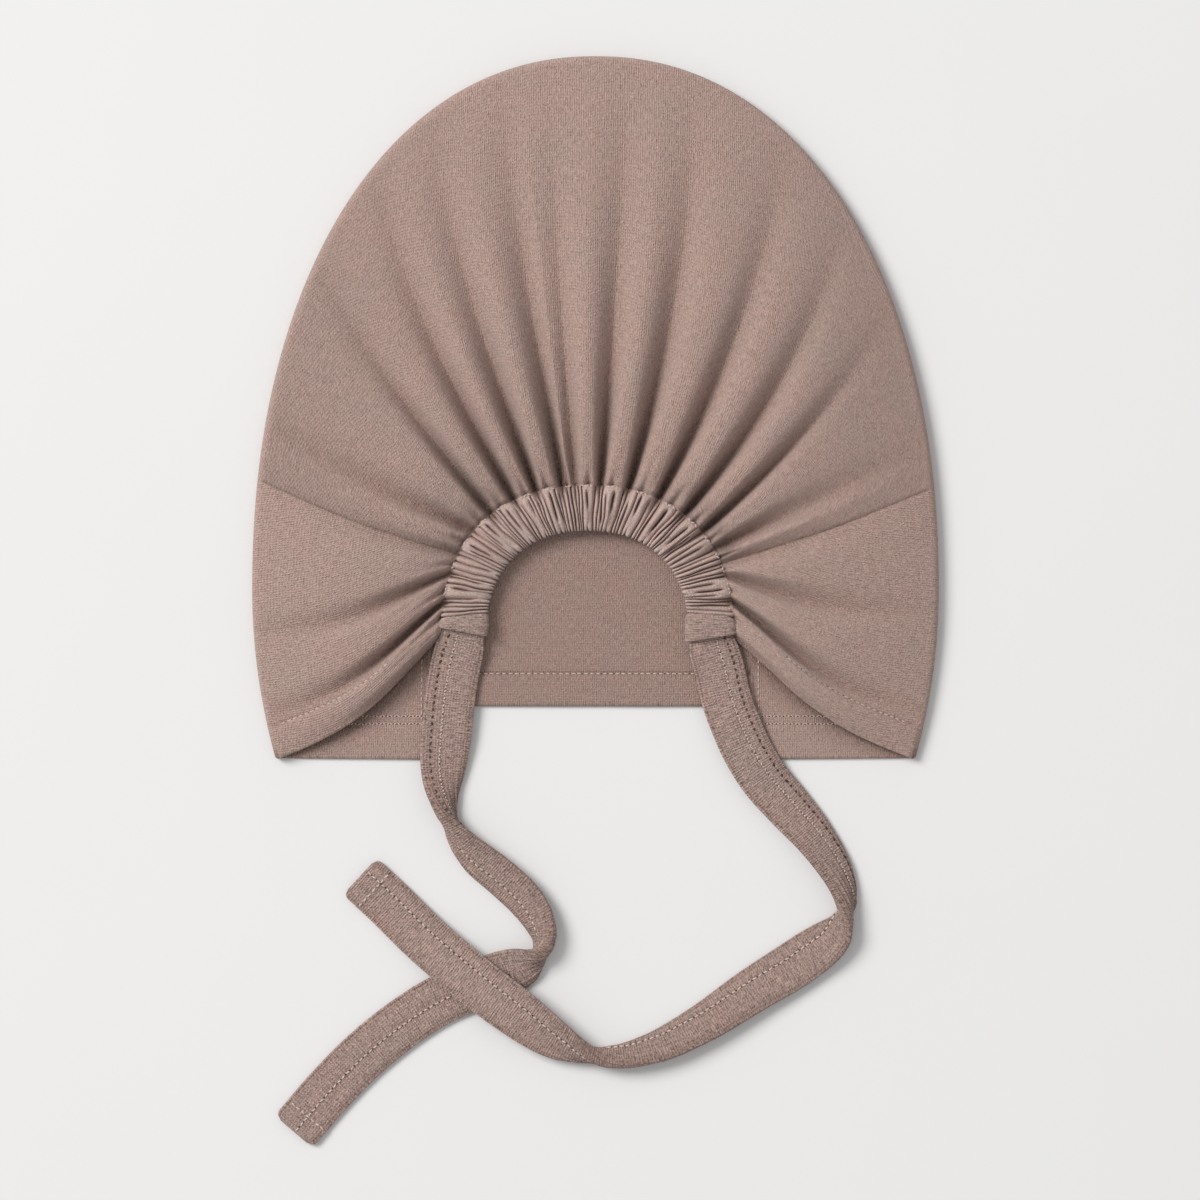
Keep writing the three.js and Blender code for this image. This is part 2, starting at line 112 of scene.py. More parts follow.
def addCloth(name, node, outer, inner, knit, paintedShadings, bulge=0.5, turns=3):
    # outer and inner faces as grids (column, row), joined by a rounded edge all the way round
    columns, rows = outer.shape[:2]
    count = columns * rows
    faces = []
    for i in range(columns - 1):
        for j in range(rows - 1):
            a = i * rows + j
            b = a + rows
            faces.append((a, b, b + 1, a + 1))
            faces.append((count + a, count + a + 1, count + b + 1, count + b))
    border = [(i, 0) for i in range(columns - 1)] + [(columns - 1, j) for j in range(rows - 1)]
    border += [(i, rows - 1) for i in range(columns - 1, 0, -1)]
    border += [(0, j) for j in range(rows - 1, 0, -1)]
    chains, extra = [], []
    for i, j in border:
        top, bottom = outer[i, j], inner[i, j]
        away = unit(top - outer[min(max(i, 1), columns - 2), min(max(j, 1), rows - 2)])
        reach = bulge * np.linalg.norm(top - bottom)
        chain = [i * rows + j]
        for k in range(turns):
            share = (k + 1) / (turns + 1)
            chain.append(2 * count + len(extra))
            extra.append(mix(top, bottom, share) + away * reach * math.sin(math.pi * share))
        chains.append(chain + [count + i * rows + j])
    for chain, following in zip(chains, chains[1:] + chains[:1]):
        faces += zip(chain, chain[1:], following[1:], following)
    points = np.concatenate([outer.reshape(-1, 3), inner.reshape(-1, 3), extra])
    flatKnit, flatPaintedShading = knit.reshape(-1, 2), paintedShadings.reshape(-1)
    edgeKnit = np.repeat([knit[place] for place in border], turns, axis=0)
    edgePaintedShading = np.repeat([paintedShadings[place] for place in border], turns)
    return addPiece(name, points, faces, np.concatenate([flatKnit, flatKnit, edgeKnit]), jersey,
                    np.concatenate([flatPaintedShading, flatPaintedShading, edgePaintedShading]), node)


def turnsOf(sides):
    return 2 * np.pi * np.arange(sides) / sides


def tubeFaces(rings, sides):
    # faces of a tube with closed ends, whose rings of points follow each other
    faces = []
    for a in range((rings - 1) * sides):
        b = a + 1 if (a + 1) % sides else a + 1 - sides
        faces.append((a, a + sides, b + sides, b))
    last = (rings - 1) * sides
    return faces + [tuple(range(sides)), tuple(range(last + sides - 1, last - 1, -1))]


def gridNormals(grid):
    return unit(np.cross(np.gradient(grid, axis=0), np.gradient(grid, axis=1)))


# the camera looks straight down on the cap, nape side up

cameraSettings = {
    "aboveX": 1.58,        # point of the floor at the middle of the picture
    "aboveY": -67.55,
    "height": 2000,
    "pictureWidth": 420,   # floor from the left to the right edge of the picture
    "sensor": 36,
}


def addCamera(s):
    data = bpy.data.cameras.new("camera")
    data.sensor_width = s["sensor"]
    data.lens = s["sensor"] * s["height"] / s["pictureWidth"]
    camera = bpy.data.objects.new("camera", data)
    camera.location = (s["aboveX"] * mm, s["aboveY"] * mm, s["height"] * mm)
    scene.collection.objects.link(camera)
    scene.camera = camera


addCamera(cameraSettings)
print("camera placed")


# knit materials

def setInputs(node, values):
    for socket, value in values.items():
        node.inputs[socket].default_value = value


def noiseNode(tree, vector, scale, detail, roughness=0.5):
    # noise over a vector that is first stretched by scale
    mapping = tree.nodes.new("ShaderNodeMapping")
    setInputs(mapping, {"Scale": scale})
    tree.links.new(vector, mapping.inputs["Vector"])
    texture = tree.nodes.new("ShaderNodeTexNoise")
    setInputs(texture, {"Scale": 1.0, "Detail": detail, "Roughness": roughness})
    tree.links.new(mapping.outputs["Vector"], texture.inputs["Vector"])
    return texture.outputs[0]


def knitMaterial(name, s):
    # single jersey: columns of small V stitches, streaky yarn and a soft dusty bloom
    material = bpy.data.materials.new(name)
    material.use_nodes = True
    tree = material.node_tree
    tree.nodes.clear()
    new, link = tree.nodes.new, tree.links.new

    def calc(operation, first, second=0.0):
        node = new("ShaderNodeMath")
        node.operation = operation
        for socket, value in zip(node.inputs, (first, second)):
            if isinstance(value, (int, float)):
                socket.default_value = value
            else:
                link(value, socket)
        return node.outputs[0]

    def weighed(total, *parts):
        # total and every part times its own setting, added up
        for source, weight in parts:
            total = calc("ADD", calc("MULTIPLY", source, s[weight]), total)
        return total

    uvNode = new("ShaderNodeUVMap")
    uvNode.uv_map = "knit"
    uv = uvNode.outputs["UV"]
    split = new("ShaderNodeSeparateXYZ")
    link(uv, split.inputs[0])
    place = new("ShaderNodeTexCoord").outputs["Object"]

    # stitch columns, and the two legs of each V
    column = calc("DIVIDE", split.outputs["X"], s["walePitch"])
    rib = calc("COSINE", calc("MULTIPLY", column, 2 * math.pi))
    leg = calc("ABSOLUTE", calc("SUBTRACT", calc("FRACT", column), 0.5))
    course = calc("DIVIDE", split.outputs["Y"], s["coursePitch"])
    loop = calc("SINE", calc("MULTIPLY", weighed(course, (leg, "legSlant")), 2 * math.pi))

    # uneven yarn: streaks along the columns, grain of single stitches, fluff and broad blotches
    streak = noiseNode(tree, uv, (1 / s["streakWidth"], 1 / s["streakLength"], 1), 3, 0.6)
    grain = noiseNode(tree, uv, (1 / s["grainSize"], 1 / (s["grainSize"] * 1.3), 1), 2, 0.6)
    cloud = noiseNode(tree, place, (s["cloudScale"],) * 3, 3, 0.55)
    fluff = noiseNode(tree, place, (s["fluffScale"],) * 3, 4, 0.7)
    bump = new("ShaderNodeBump")
    setInputs(bump, {"Strength": s["bumpStrength"], "Distance": s["bumpDepth"] * mm})
    link(weighed(0.0, (rib, "ribRelief"), (loop, "loopRelief"), (streak, "streakRelief"),
                 (grain, "grainRelief"), (fluff, "fluffRelief")), bump.inputs["Height"])

    # colour: two close tints in blotches, lighter and darker yarn, and painted shade from the
    # per-point attribute: darker and warmer where it is high, lighter as painted highlight where it
    # is below zero
    tint = new("ShaderNodeValToRGB")
    for stop, position, tone in zip(tint.color_ramp.elements, (0.3, 0.7), ("greyTint", "pinkTint")):
        stop.position = position
        stop.color = (*s[tone], 1)
    link(cloud, tint.inputs["Fac"])
    paintedShading = new("ShaderNodeAttribute")
    paintedShading.attribute_name = "paintedShading"
    deep = paintedShading.outputs["Fac"]
    value = weighed(1.0, (calc("SUBTRACT", streak, 0.5), "streakTone"), (rib, "ribTone"),
                    (calc("SUBTRACT", grain, 0.5), "grainTone"), (loop, "loopTone"))
    shade = new("ShaderNodeHueSaturation")
    link(calc("SUBTRACT", value, calc("MULTIPLY", deep, s["paintedShadeTone"])), shade.inputs["Value"])
    link(weighed(1.0, (deep, "paintedShadeWarmth")), shade.inputs["Saturation"])
    link(tint.outputs["Color"], shade.inputs["Color"])

    surface = new("ShaderNodeBsdfPrincipled")
    setInputs(surface, {"Sheen Weight": s["sheen"], "Sheen Roughness": s["sheenRoughness"],
                        "Sheen Tint": (*s["sheenTint"], 1), "Specular IOR Level": s["specular"]})
    link(weighed(s["roughness"], (grain, "roughSpread")), surface.inputs["Roughness"])
    link(shade.outputs["Color"], surface.inputs["Base Color"])
    link(bump.outputs["Normal"], surface.inputs["Normal"])
    link(surface.outputs[0], new("ShaderNodeOutputMaterial").inputs["Surface"])
    return material


jerseyLook = {
    "walePitch": 0.8, "coursePitch": 1.1, "legSlant": 0.9,
    "streakWidth": 0.52, "streakLength": 2.6, "grainSize": 0.56,
    "cloudScale": 60, "fluffScale": 1700,
    "ribRelief": 0.2, "loopRelief": 0.12, "streakRelief": 1.2, "grainRelief": 1.4,
    "fluffRelief": 1.0, "bumpStrength": 1.0, "bumpDepth": 0.38,
    "greyTint": (0.441, 0.318, 0.275), "pinkTint": (0.464, 0.317, 0.274),
    "streakTone": 0.95, "grainTone": 1.15, "ribTone": 0.022, "loopTone": 0.008,
    "paintedShadeTone": 0.5, "paintedShadeWarmth": 0.2,
    "sheen": 0.22, "sheenRoughness": 0.45, "sheenTint": (0.93, 0.86, 0.82), "specular": 0.18,
    "roughness": 0.82, "roughSpread": 0.14,
}
bandLook = {
    **jerseyLook,
    "walePitch": 0.85, "coursePitch": 1.0, "streakWidth": 0.5, "streakLength": 3.4,
    "grainSize": 0.62, "greyTint": (0.430, 0.312, 0.270), "pinkTint": (0.450, 0.310, 0.270),
    "streakTone": 1.9, "grainTone": 1.6, "ribTone": 0.03, "sheen": 0.28, "bumpDepth": 0.52,
}
threadLook = {
    **jerseyLook,
    "walePitch": 0.3, "coursePitch": 0.3, "streakWidth": 0.25, "streakLength": 0.5,
    "greyTint": (0.570, 0.455, 0.405), "pinkTint": (0.630, 0.505, 0.450),
    "bumpDepth": 0.05, "sheen": 0.1,
}
# near-black beads that stand for the holes: painted shade
paintedHoleShadeLook = {
    **threadLook,
    "greyTint": (0.075, 0.046, 0.036), "pinkTint": (0.095, 0.058, 0.045), "sheen": 0.0,
}
jersey = knitMaterial("jersey", jerseyLook)
bandJersey = knitMaterial("bandJersey", bandLook)
threadMaterial = knitMaterial("sewingThread", threadLook)
paintedHoleShade = knitMaterial("paintedHoleShade", paintedHoleShadeLook)
print("knit materials made")


# plan of the cap: angles are degrees from +Y about the nape arch's middle, positive to the right

plan = {
    "width": 240, "height": 245,
    "widestShare": 0.239,      # of the height, up from the hem
    "domeRoundness": 2.15, "hemTaper": 8,
    "archMiddle": np.array([-2.8, -78.75]),
    "archHalfWidth": 35, "archHeight": 35.2, "archRoundness": 2.25,
    "casingWidth": 16,
    "cloth": 1.2, "clothBelow": 0.9,  # thickness, and the least of it in the layer underneath
    "seamGap": 0.1,
    "panelSeamLeft": 58.3, "panelSeamRight": 54.6, "frontSeamY": -37,
    "foreheadEdgeY": -103.8,
    "flatKnit": 1.25,          # the layer underneath is knitted finer than the stretched pipes
    "knitStart": 600,          # keeps that layer's pattern clear of zero
}


def halfWidthAt(y):
    s = plan
    widestY = s["height"] * (s["widestShare"] - 0.5)
    if y < widestY:
        down = (widestY - y) / (widestY + s["height"] / 2)
        return s["width"] / 2 - s["hemTaper"] * down * down
    up = min((y - widestY) / (s["height"] / 2 - widestY), 1)
    return s["width"] / 2 * (1 - up ** s["domeRoundness"]) ** (1 / s["domeRoundness"])


def fromArch(angle, distance):
    turn = np.radians(angle)
    away = np.stack([distance * np.sin(turn), distance * np.cos(turn)], axis=-1)
    return plan["archMiddle"] + away


def outlinePoint(angle, halvings=34):
    # where the ray at this angle meets the outline, by halving
    near, far = plan["archHalfWidth"], plan["height"]
    for _ in range(halvings):
        middle = (near + far) / 2
        x, y = fromArch(angle, middle)
        inside = y < plan["height"] / 2 and abs(x) < halfWidthAt(y)
        near, far = (middle, far) if inside else (near, middle)
    return fromArch(angle, near)


def outlineInward(angle, probe=0.2):
    along = unit(outlinePoint(angle + probe) - outlinePoint(angle - probe))
    return np.array([along[1], -along[0]])


def archEdge(angle, wider=0):
    # distance from the arch's middle to its edge, or to a line that much wider
    s = plan
    across = abs(math.sin(math.radians(angle))) / (s["archHalfWidth"] + wider)
    up = max(math.cos(math.radians(angle)), 0) / (s["archHeight"] + wider)
    return (across ** s["archRoundness"] + up ** s["archRoundness"]) ** (-1 / s["archRoundness"])


def casingOuter(angle):
    return archEdge(angle, plan["casingWidth"])


# sewing: short raised stitches, or dark beads as painted shade of needle holes, along runs of
# points

stitchSettings = {
    "sides": 6, "rings": ((-1, 0.2), (-0.7, 0.8), (0, 1), (0.7, 0.8), (1, 0.2)),
    "start": 0.5, "slant": 0, "unevenness": 0.11, "wander": 0.08, "riseSpread": (0.8, 1.15),
    "probe": 0.4,              # how far ahead and behind a stitch looks for its direction
}
stitchFaces = [(face[0], *face[:0:-1]) for face in
               tubeFaces(len(stitchSettings["rings"]), stitchSettings["sides"])]


def sewRuns(name, runs, s, material):
    # runs is a list of (points, normals); s changes stitchSettings and gives the stitch's sizes
    s = {**stitchSettings, **s}
    dice = random.Random(s["seed"])
    points, faces = [], []
    for line, normals in runs:
        lengths = runLengths(line)
        for k in range(int(lengths[-1] / s["pitch"])):
            place = (k + s["start"] + dice.uniform(-s["wander"], s["wander"])) * s["pitch"]
            if place > lengths[-1]:
                continue
            up = unit(pointOn(normals, lengths, place))
            along = unit(pointOn(line, lengths, place + s["probe"])
                         - pointOn(line, lengths, place - s["probe"]))
            along = unit(along + np.cross(up, along) * s["slant"] * (1 if k % 2 else -1))
            up = unit(up - along * np.dot(up, along))
            length = s["length"] * dice.uniform(1 - s["unevenness"], 1 + s["unevenness"])
            rise = s["rise"] * dice.uniform(*s["riseSpread"])
            centre = pointOn(line, lengths, place) - up * s["sink"]
            side = np.cross(up, along)
            faces += [tuple(len(points) + p for p in face) for face in stitchFaces]
            for share, fullness in s["rings"]:
                for turn in turnsOf(s["sides"]):
                    points.append(centre + along * share * length / 2
                                  + side * math.cos(turn) * s["width"] / 2 * fullness
                                  + up * math.sin(turn) * rise * fullness)
    return addPiece(name, points, faces, np.array(points)[:, :2], material)


# tie bands: flat knit tubes that twist over where they turn; routes start at a channel end's mouth

tieSettings = {
    "width": 17.5, "thickness": 2.2,
    "neckShare": 0.86, "neckStart": 3.2, "neckLength": 7,
    "steps": 460, "sides": 68,
    "fullness": 0.36, "squareness": 5,  # of the flat section's edges
    "edgeLines": ((0.88, 0.32), (0.74, 0.14)),  # shares of half the width, and depths
    "edgeLineWidth": 0.045, "edgeLineShade": 1.6,
    "cornerRadius": 2.6, "endThickness": 0.75, "endRounding": 0.9,
    "seamDip": 0.22, "seamWidth": 0.09, "seamShade": 0.35,  # along the sewn rows
    "endHem": 7.5, "endHemRise": 0.25,
    "wrinkle": 0.32, "wrinkleLength": 9,
    "standing": 0.36,          # height kept where a band stands on its edge, for it rolls up there
    "curl": 1.5, "curlLines": 0.4, "curlLineCount": 7, "curlShade": 0.5,
    "lowerKnit": 40,           # moves the pattern on for the lower face
    "leftMouth": (-46.4, -80.25), "rightMouth": (40.3, -81.7),
}

# x, y from the mouth's middle, roll in degrees about the run, lift above what it lies on
leftRoute = [
    (0.2, 2.8, 0, 3.6), (-0.3, -1.2, 0, 3.4), (-2.4, -9.8, 0, 2.1), (-4.5, -22.7, 0, 2.0),
    (-5.6, -33.8, 6, 1.6), (-6.8, -45.5, 26, 0.6), (-6.9, -54.2, 50, 0), (-5.4, -62.1, 78, 0),
    (-1.2, -70.2, 112, 0), (4.9, -77.2, 132, 0), (13.6, -84.4, 137, 0), (21.3, -91.6, 136, 0),
    (26.2, -98.6, 128, 0), (28.4, -105.4, 112, 0), (27.2, -110.4, 90, 0.3), (22.4, -114.6, 44, 0),
    (11.4, -119.2, 14, 0), (-7.3, -126.9, 4, 0), (-19.9, -134.7, 0, 0), (-33.6, -145.6, 0, 0),
    (-46.2, -158.2, 0, 0), (-59.1, -173.2, 0, 0),
]
rightRoute = [
    (-0.2, 3.9, 0, 3.6), (0.4, -0.8, 0, 3.4), (3.0, -9.8, 0, 2.1), (5.4, -20.2, 0, 2.0),
    (8.5, -28.9, 2, 1.8), (12.7, -38.4, 6, 1.6), (18.7, -48.2, 14, 0.8), (27.1, -58.0, 22, 0),
    (36.5, -69.1, 38, 0), (44.6, -82.1, 54, 0), (47.2, -92.8, 80, 0), (43.6, -102.0, 134, 0),
    (32.0, -111.4, 160, 0), (14.5, -122.4, 152, 0), (-3.7, -134.3, 138, 0), (-20.5, -142.5, 124, 0),
    (-37.1, -145.5, 100, 0.4), (-51.9, -140.7, 46, 2.4), (-70.3, -128.1, 10, 4.6),
    (-84.2, -117.5, 0, 3.8), (-100.0, -104.2, 0, 1.2), (-112.9, -91.6, 0, 0),
    (-122.7, -82.5, 0, 0),
]

# sewn rows on a band: face, share of the half width, from and to along it
wholeBand = 1000
leftRows = [(1, 0.22, 2, 74), (1, 0.62, 2, 74), (-1, -0.15, 64, 124),
            (1, -0.05, 140, wholeBand)]
rightRows = [(1, -0.22, 2, 108), (1, -0.62, 2, 108), (-1, -0.33, 100, 214),
             (1, 0.36, 205, wholeBand)]


def splinePoint(points, share, centripetal):
    # a Catmull-Rom curve: centripetal for routes, plain for sections and turning
    spans = len(points) - 1
    at = min(share * spans, spans - 1e-9)
    i = int(at)
    t = at - i
    p1, p2 = points[i], points[i + 1]
    p0 = points[i - 1] if i > 0 else 2 * p1 - p2
    p3 = points[i + 2] if i + 2 <= spans else 2 * p2 - p1
    if centripetal:
        d0, d1, d2 = (max(np.linalg.norm(b - a), 1e-6) ** 0.5
                      for a, b in ((p0, p1), (p1, p2), (p2, p3)))
        m1 = ((p1 - p0) / d0 - (p2 - p0) / (d0 + d1) + (p2 - p1) / d1) * d1
        m2 = ((p2 - p1) / d1 - (p3 - p1) / (d1 + d2) + (p3 - p2) / d2) * d1
    else:
        m1, m2 = 0.5 * (p2 - p0), 0.5 * (p3 - p1)
    turned = (-3 * p1 + 3 * p2 - 2 * m1 - m2) * t * t
    return p1 + m1 * t + turned + (2 * p1 - 2 * p2 + m1 + m2) * t ** 3


def layBand(route, mouth, rows, seed):
    # middle line of the band with its across and up directions, half width and length so far
    s = tieSettings
    track = [np.array([x + mouth[0], y + mouth[1], 0.0]) for x, y, _, _ in route]
    turning = [np.array([roll, lift, 0.0]) for _, _, roll, lift in route]
    shares = np.linspace(0, 1, s["steps"] + 1)
    line = np.array([splinePoint(track, share, True) for share in shares])
    state = np.array([splinePoint(turning, share, False) for share in shares])
    neck = np.clip((runLengths(line) - s["neckStart"]) / s["neckLength"], 0, 1)
    halfWidth = s["width"] / 2 * mix(s["neckShare"], 1, neck * (2 - neck))
    heading = unit(np.gradient(line, axis=0))
    right = np.stack([heading[:, 1], -heading[:, 0], np.zeros(len(line))], axis=1)
    above = np.array([0, 0, 1.0])
    roll = np.radians(state[:, 0])
    cosine, sine = np.cos(roll)[:, None], np.sin(roll)[:, None]
    thick = s["thickness"] / 2
    height = halfWidth * np.abs(np.sin(roll)) * s["standing"] + thick * np.abs(np.cos(roll))
    line[:, 2] = np.maximum(height, thick) + np.maximum(state[:, 1], 0)
    return {"line": line, "across": right * cosine + above * (sine * s["standing"]),
            "up": -right * sine + above * cosine, "halfWidth": halfWidth, "run": runLengths(line),
            "curl": np.sin(roll) ** 2, "rows": rows, "seed": seed}


def rowsAt(band, face, along):
    return [row[1] for row in band["rows"] if row[0] == face and row[2] < along < row[3]]


def bandSurface(band, i, share, face):
    # point of the band's upper or lower face at a share of its half width
    s = tieSettings
    total, along = band["run"][-1], band["run"][i]
    inside = 1 - abs(share) ** s["squareness"]
    thick = s["thickness"] / 2 * inside ** s["fullness"]
    for lineShare, depth in s["edgeLines"]:
        thick -= bell(abs(share) - lineShare, s["edgeLineWidth"]) * depth
    if abs(share) < 0.999:
        thick += smooth(total - s["endHem"] - 0.6, total - s["endHem"], along) * s["endHemRise"]
        for rowShare in rowsAt(band, face, along):
            thick -= s["seamDip"] * bell(share - rowShare, s["seamWidth"])
        wave = noiseAt(along / s["wrinkleLength"], share * 1.4 + face, band["seed"])
        thick += s["wrinkle"] * wave * (1 - abs(share) ** 3)
        lines = s["curlLines"] * math.cos(share * s["curlLineCount"] * math.pi)
        thick += band["curl"][i] * inside * (s["curl"] + lines)
    ending = min(1, math.sqrt(max(total - along, 0) / s["endRounding"] + 0.02))
    thick = max(thick, 0) * mix(s["endThickness"], 1, ending)
    corner = s["cornerRadius"]
    short = max(corner - (total - along), 0)
    wide = band["halfWidth"][i] - corner + math.sqrt(corner ** 2 - short ** 2)
    point = band["line"][i] + band["across"][i] * share * wide + band["up"][i] * face * thick
    point[2] = max(point[2], 0.02)
    return point


def addBand(name, node, band):
    s = tieSettings
    points, uvs, paintedShadings = [], [], []
    for i, along in enumerate(band["run"]):
        for turn in turnsOf(s["sides"]):
            share = math.cos(turn)
            face = 1 if math.sin(turn) >= 0 else -1
            points.append(bandSurface(band, i, share, face))
            uvs.append((along, share * band["halfWidth"][i] + (s["lowerKnit"] if face < 0 else 0)))
            # painted shade: along the lines of a rolled-up part, in the grooves of the edge lines
            # and along the sewn rows
            curlLine = 0.5 - 0.5 * math.cos(share * s["curlLineCount"] * math.pi)
            dark = s["curlShade"] * band["curl"][i] * curlLine
            for lineShare, depth in s["edgeLines"]:
                line = bell(abs(share) - lineShare, s["edgeLineWidth"])
                dark += s["edgeLineShade"] * depth * line
            for rowShare in rowsAt(band, face, along):
                dark += s["seamShade"] * bell(share - rowShare, 0.05)
            paintedShadings.append(dark)
    faces = tubeFaces(len(band["run"]), s["sides"])
    return addPiece(name, points, faces, uvs, bandJersey, paintedShadings, node)


def bandRow(band, face, share, start, end):
    # points and normals of a sewn line along one face of the band
    keep = [i for i, along in enumerate(band["run"]) if start < along < end]
    return np.array([bandSurface(band, i, share, face) for i in keep]), band["up"][keep] * face


def bandCross(band, share, before, count=40):
    # a sewn line straight across the band's upper face, some way before its end
    at = int(np.searchsorted(band["run"], band["run"][-1] - before))
    face = 1 if band["up"][at][2] > 0 else -1
    line = np.array([bandSurface(band, at, k, face) for k in np.linspace(-share, share, count)])
    return line, np.repeat([band["up"][at] * face], count, axis=0)


bandStitch = {"pitch": 2.2, "length": 1.6, "width": 0.66, "rise": 0.34, "sink": -0.08, "seed": 3,
              "slant": 0.16}
chainStitch = {"pitch": 1.25, "length": 1.1, "width": 0.56, "rise": 0.34, "sink": -0.06, "seed": 5,
               "slant": 0.7}
bandHole = {"pitch": 2.2, "length": 0.7, "width": 0.6, "rise": 0.16, "sink": -0.07, "seed": 4,
            "start": 0.0}
bigHole = {"pitch": 2.4, "length": 1.2, "width": 0.85, "rise": 0.16, "sink": -0.07, "seed": 8,
           "slant": 0.5, "unevenness": 0.45}
# which of a band's rows have each kind of stitch or hole
bandSewing = (
    ("_stitches", (2, 3), bandStitch, threadMaterial),
    ("_chain", (0,), chainStitch, threadMaterial),
    ("_holes", (0, 2, 3), bandHole, paintedHoleShade),
    ("_big_holes", (1,), bigHole, paintedHoleShade),
)

bands = {"left": layBand(leftRoute, tieSettings["leftMouth"], leftRows, 2),
         "right": layBand(rightRoute, tieSettings["rightMouth"], rightRows, 9)}
ties = {side: addBand("tie_band_" + side, "tie_" + side, band) for side, band in bands.items()}
for side, band in bands.items():
    for ending, keep, stitch, material in bandSewing:
        runs = [bandRow(band, *band["rows"][k]) for k in keep]
        if ending == "_stitches":
            runs.append(bandCross(band, 0.9, tieSettings["endHem"]))
        sewRuns("tie_" + side + ending, runs, stitch, material)


# panels of the cap: an upper layer in folds that fan out of the gathers, the fold of the cloth at
# the outline, and the layer that it lies on

foldSettings = {
    "depth": 8.2, "loft": 9.4, "rim": 6, "stitchHeight": 7,
    "start": 0.45, "rise": 0.03, "reach": 0.72, "fading": 2.4, "ending": 3,
    "loftRise": 6, "loftFall": 2.2, "earlyTurn": 3.2,
    "valleyWidth": 1.6, "valleySpread": 0.05,  # half width by the gathers, and how it grows outward
    "valleySteep": 3.2, "valleySoft": 1.9, "steepEnd": 45, "dome": 0.24,
    "upperRows": 96, "rowCrowding": 1.55, "rimRows": 7,
    "pinch": 0.9, "pinchWidth": 1.1,           # nip along the gathering stitches
    "lowest": 2.5, "softening": 2.5,
    "seamDip": 0.38, "seamWidth": 0.7, "seamShade": 0.4,
    "narrow": 5,                               # degrees; narrower pipes aren't caught by a stitch
    "dimple": 2.0, "dimpleLength": 4.5, "dimpleWidth": 0.1,
    "ripple": 0.42, "rippleSize": (34, 46), "looseShare": 0.5, "looseSize": (11, 15),
    "crumple": 0.5, "crumpleSize": (1.7, 9), "crumpleReach": 22, "calmNear": 2.5, "calmFar": 6,
    "farShade": 45, "nearShade": 14, "nearShare": 0.7,
}
# sunk is how far the cloth after a valley stays below the pipes' crests, as a share of the depth
foldFields = ("atCasing", "atRim", "bend", "depth", "loft", "rim", "sunk")
leftSeamFold = (-59.0, -65.5, 1, 0.34, 0.67, 0.93, 0)
rightSeamFold = (63.0, 67.7, 1, 0.34, 0.67, 0.93, 0)


def foldRows(*rows):
    return [dict(zip(foldFields, row)) for row in rows]


crownFolds = foldRows(
    leftSeamFold,
    (-48.5, -57.0, 1, 0.62, 0.78, 1.00, 0),
    (-39.0, -37.5, 0, 0.95, 0.89, 1.00, 0),
    (-29.0, -25.5, 0, 1.03, 0.94, 1.00, 0),
    (-20.0, -17.5, 0, 1.03, 0.98, 1.00, 0),
    (-10.0, -9.5, 0, 1.03, 1.00, 1.00, 0.5),
    (-4.8, -4.0, 0, 0.75, 1.00, 1.00, 0),
    (5.0, 4.0, 0, 0.90, 1.00, 1.00, 0),
    (16.0, 10.5, 0, 1.03, 0.98, 1.00, 0),
    (28.0, 22.0, 0, 1.03, 0.96, 1.00, 0),
    (39.5, 32.0, 0, 1.00, 0.91, 1.00, 0),
    (49.0, 43.5, 0, 0.92, 0.84, 1.00, 0),
    (57.0, 61.0, 1, 0.66, 0.73, 0.97, 0),
    rightSeamFold,
)
leftFlapFolds = foldRows(
    (-91.9, -111.85, 1, 0.50, 0.38, 0.57, 0),
    (-78.5, -104.0, 1, 0.85, 0.60, 0.73, 0),
    (-67.0, -89.0, 1, 0.60, 0.64, 0.87, 0),
    leftSeamFold,
)
rightFlapFolds = foldRows(
    rightSeamFold,
    (68.0, 86.0, 1, 0.58, 0.64, 0.87, 0),
    (78.0, 103.0, 1, 0.90, 0.60, 0.73, 0),
    (91.9, 110.85, 1, 0.50, 0.38, 0.57, 0),
)
pipes = [pair for folds in (leftFlapFolds, crownFolds, rightFlapFolds)
         for pair in zip(folds, folds[1:])]


def valleyDepth(a, b, share):
    return mix(a["depth"], b["depth"], float(smooth(0.2, 0.8, share)))


def foldColumns(folds, perFold):
    # fine columns between the valleys, closer together near each valley
    columns = []
    for i, (a, b) in enumerate(zip(folds, folds[1:])):
        for k in range(perFold + (i == len(folds) - 2)):
            share = crowded(k / perFold, 0.5)
            column = {key: mix(a[key], b[key], share) for key in foldFields}
            columns.append({**column, "depth": valleyDepth(a, b, share), "sunk": a["sunk"],
                            "share": share, "fold": i})
    return {key: np.array([column[key] for column in columns]) for key in columns[0]}


def valleyShape(share, pitch, distance):
    # 1 in a valley and 0 on the pipe's crest, for the pipes' pitch and distance from the gathers
    s = foldSettings
    off = 1 - np.abs(2 * share - 1)
    width = s["valleyWidth"] + s["valleySpread"] * distance
    steep = mix(s["valleySteep"], s["valleySoft"], smooth(0, s["steepEnd"], distance))
    gap = bell(off * pitch / 2, width, steep)
    least = bell(pitch / 2, width, steep)
    return mix((gap - least) / (1 - least), (1 - off) ** 2, s["dome"])


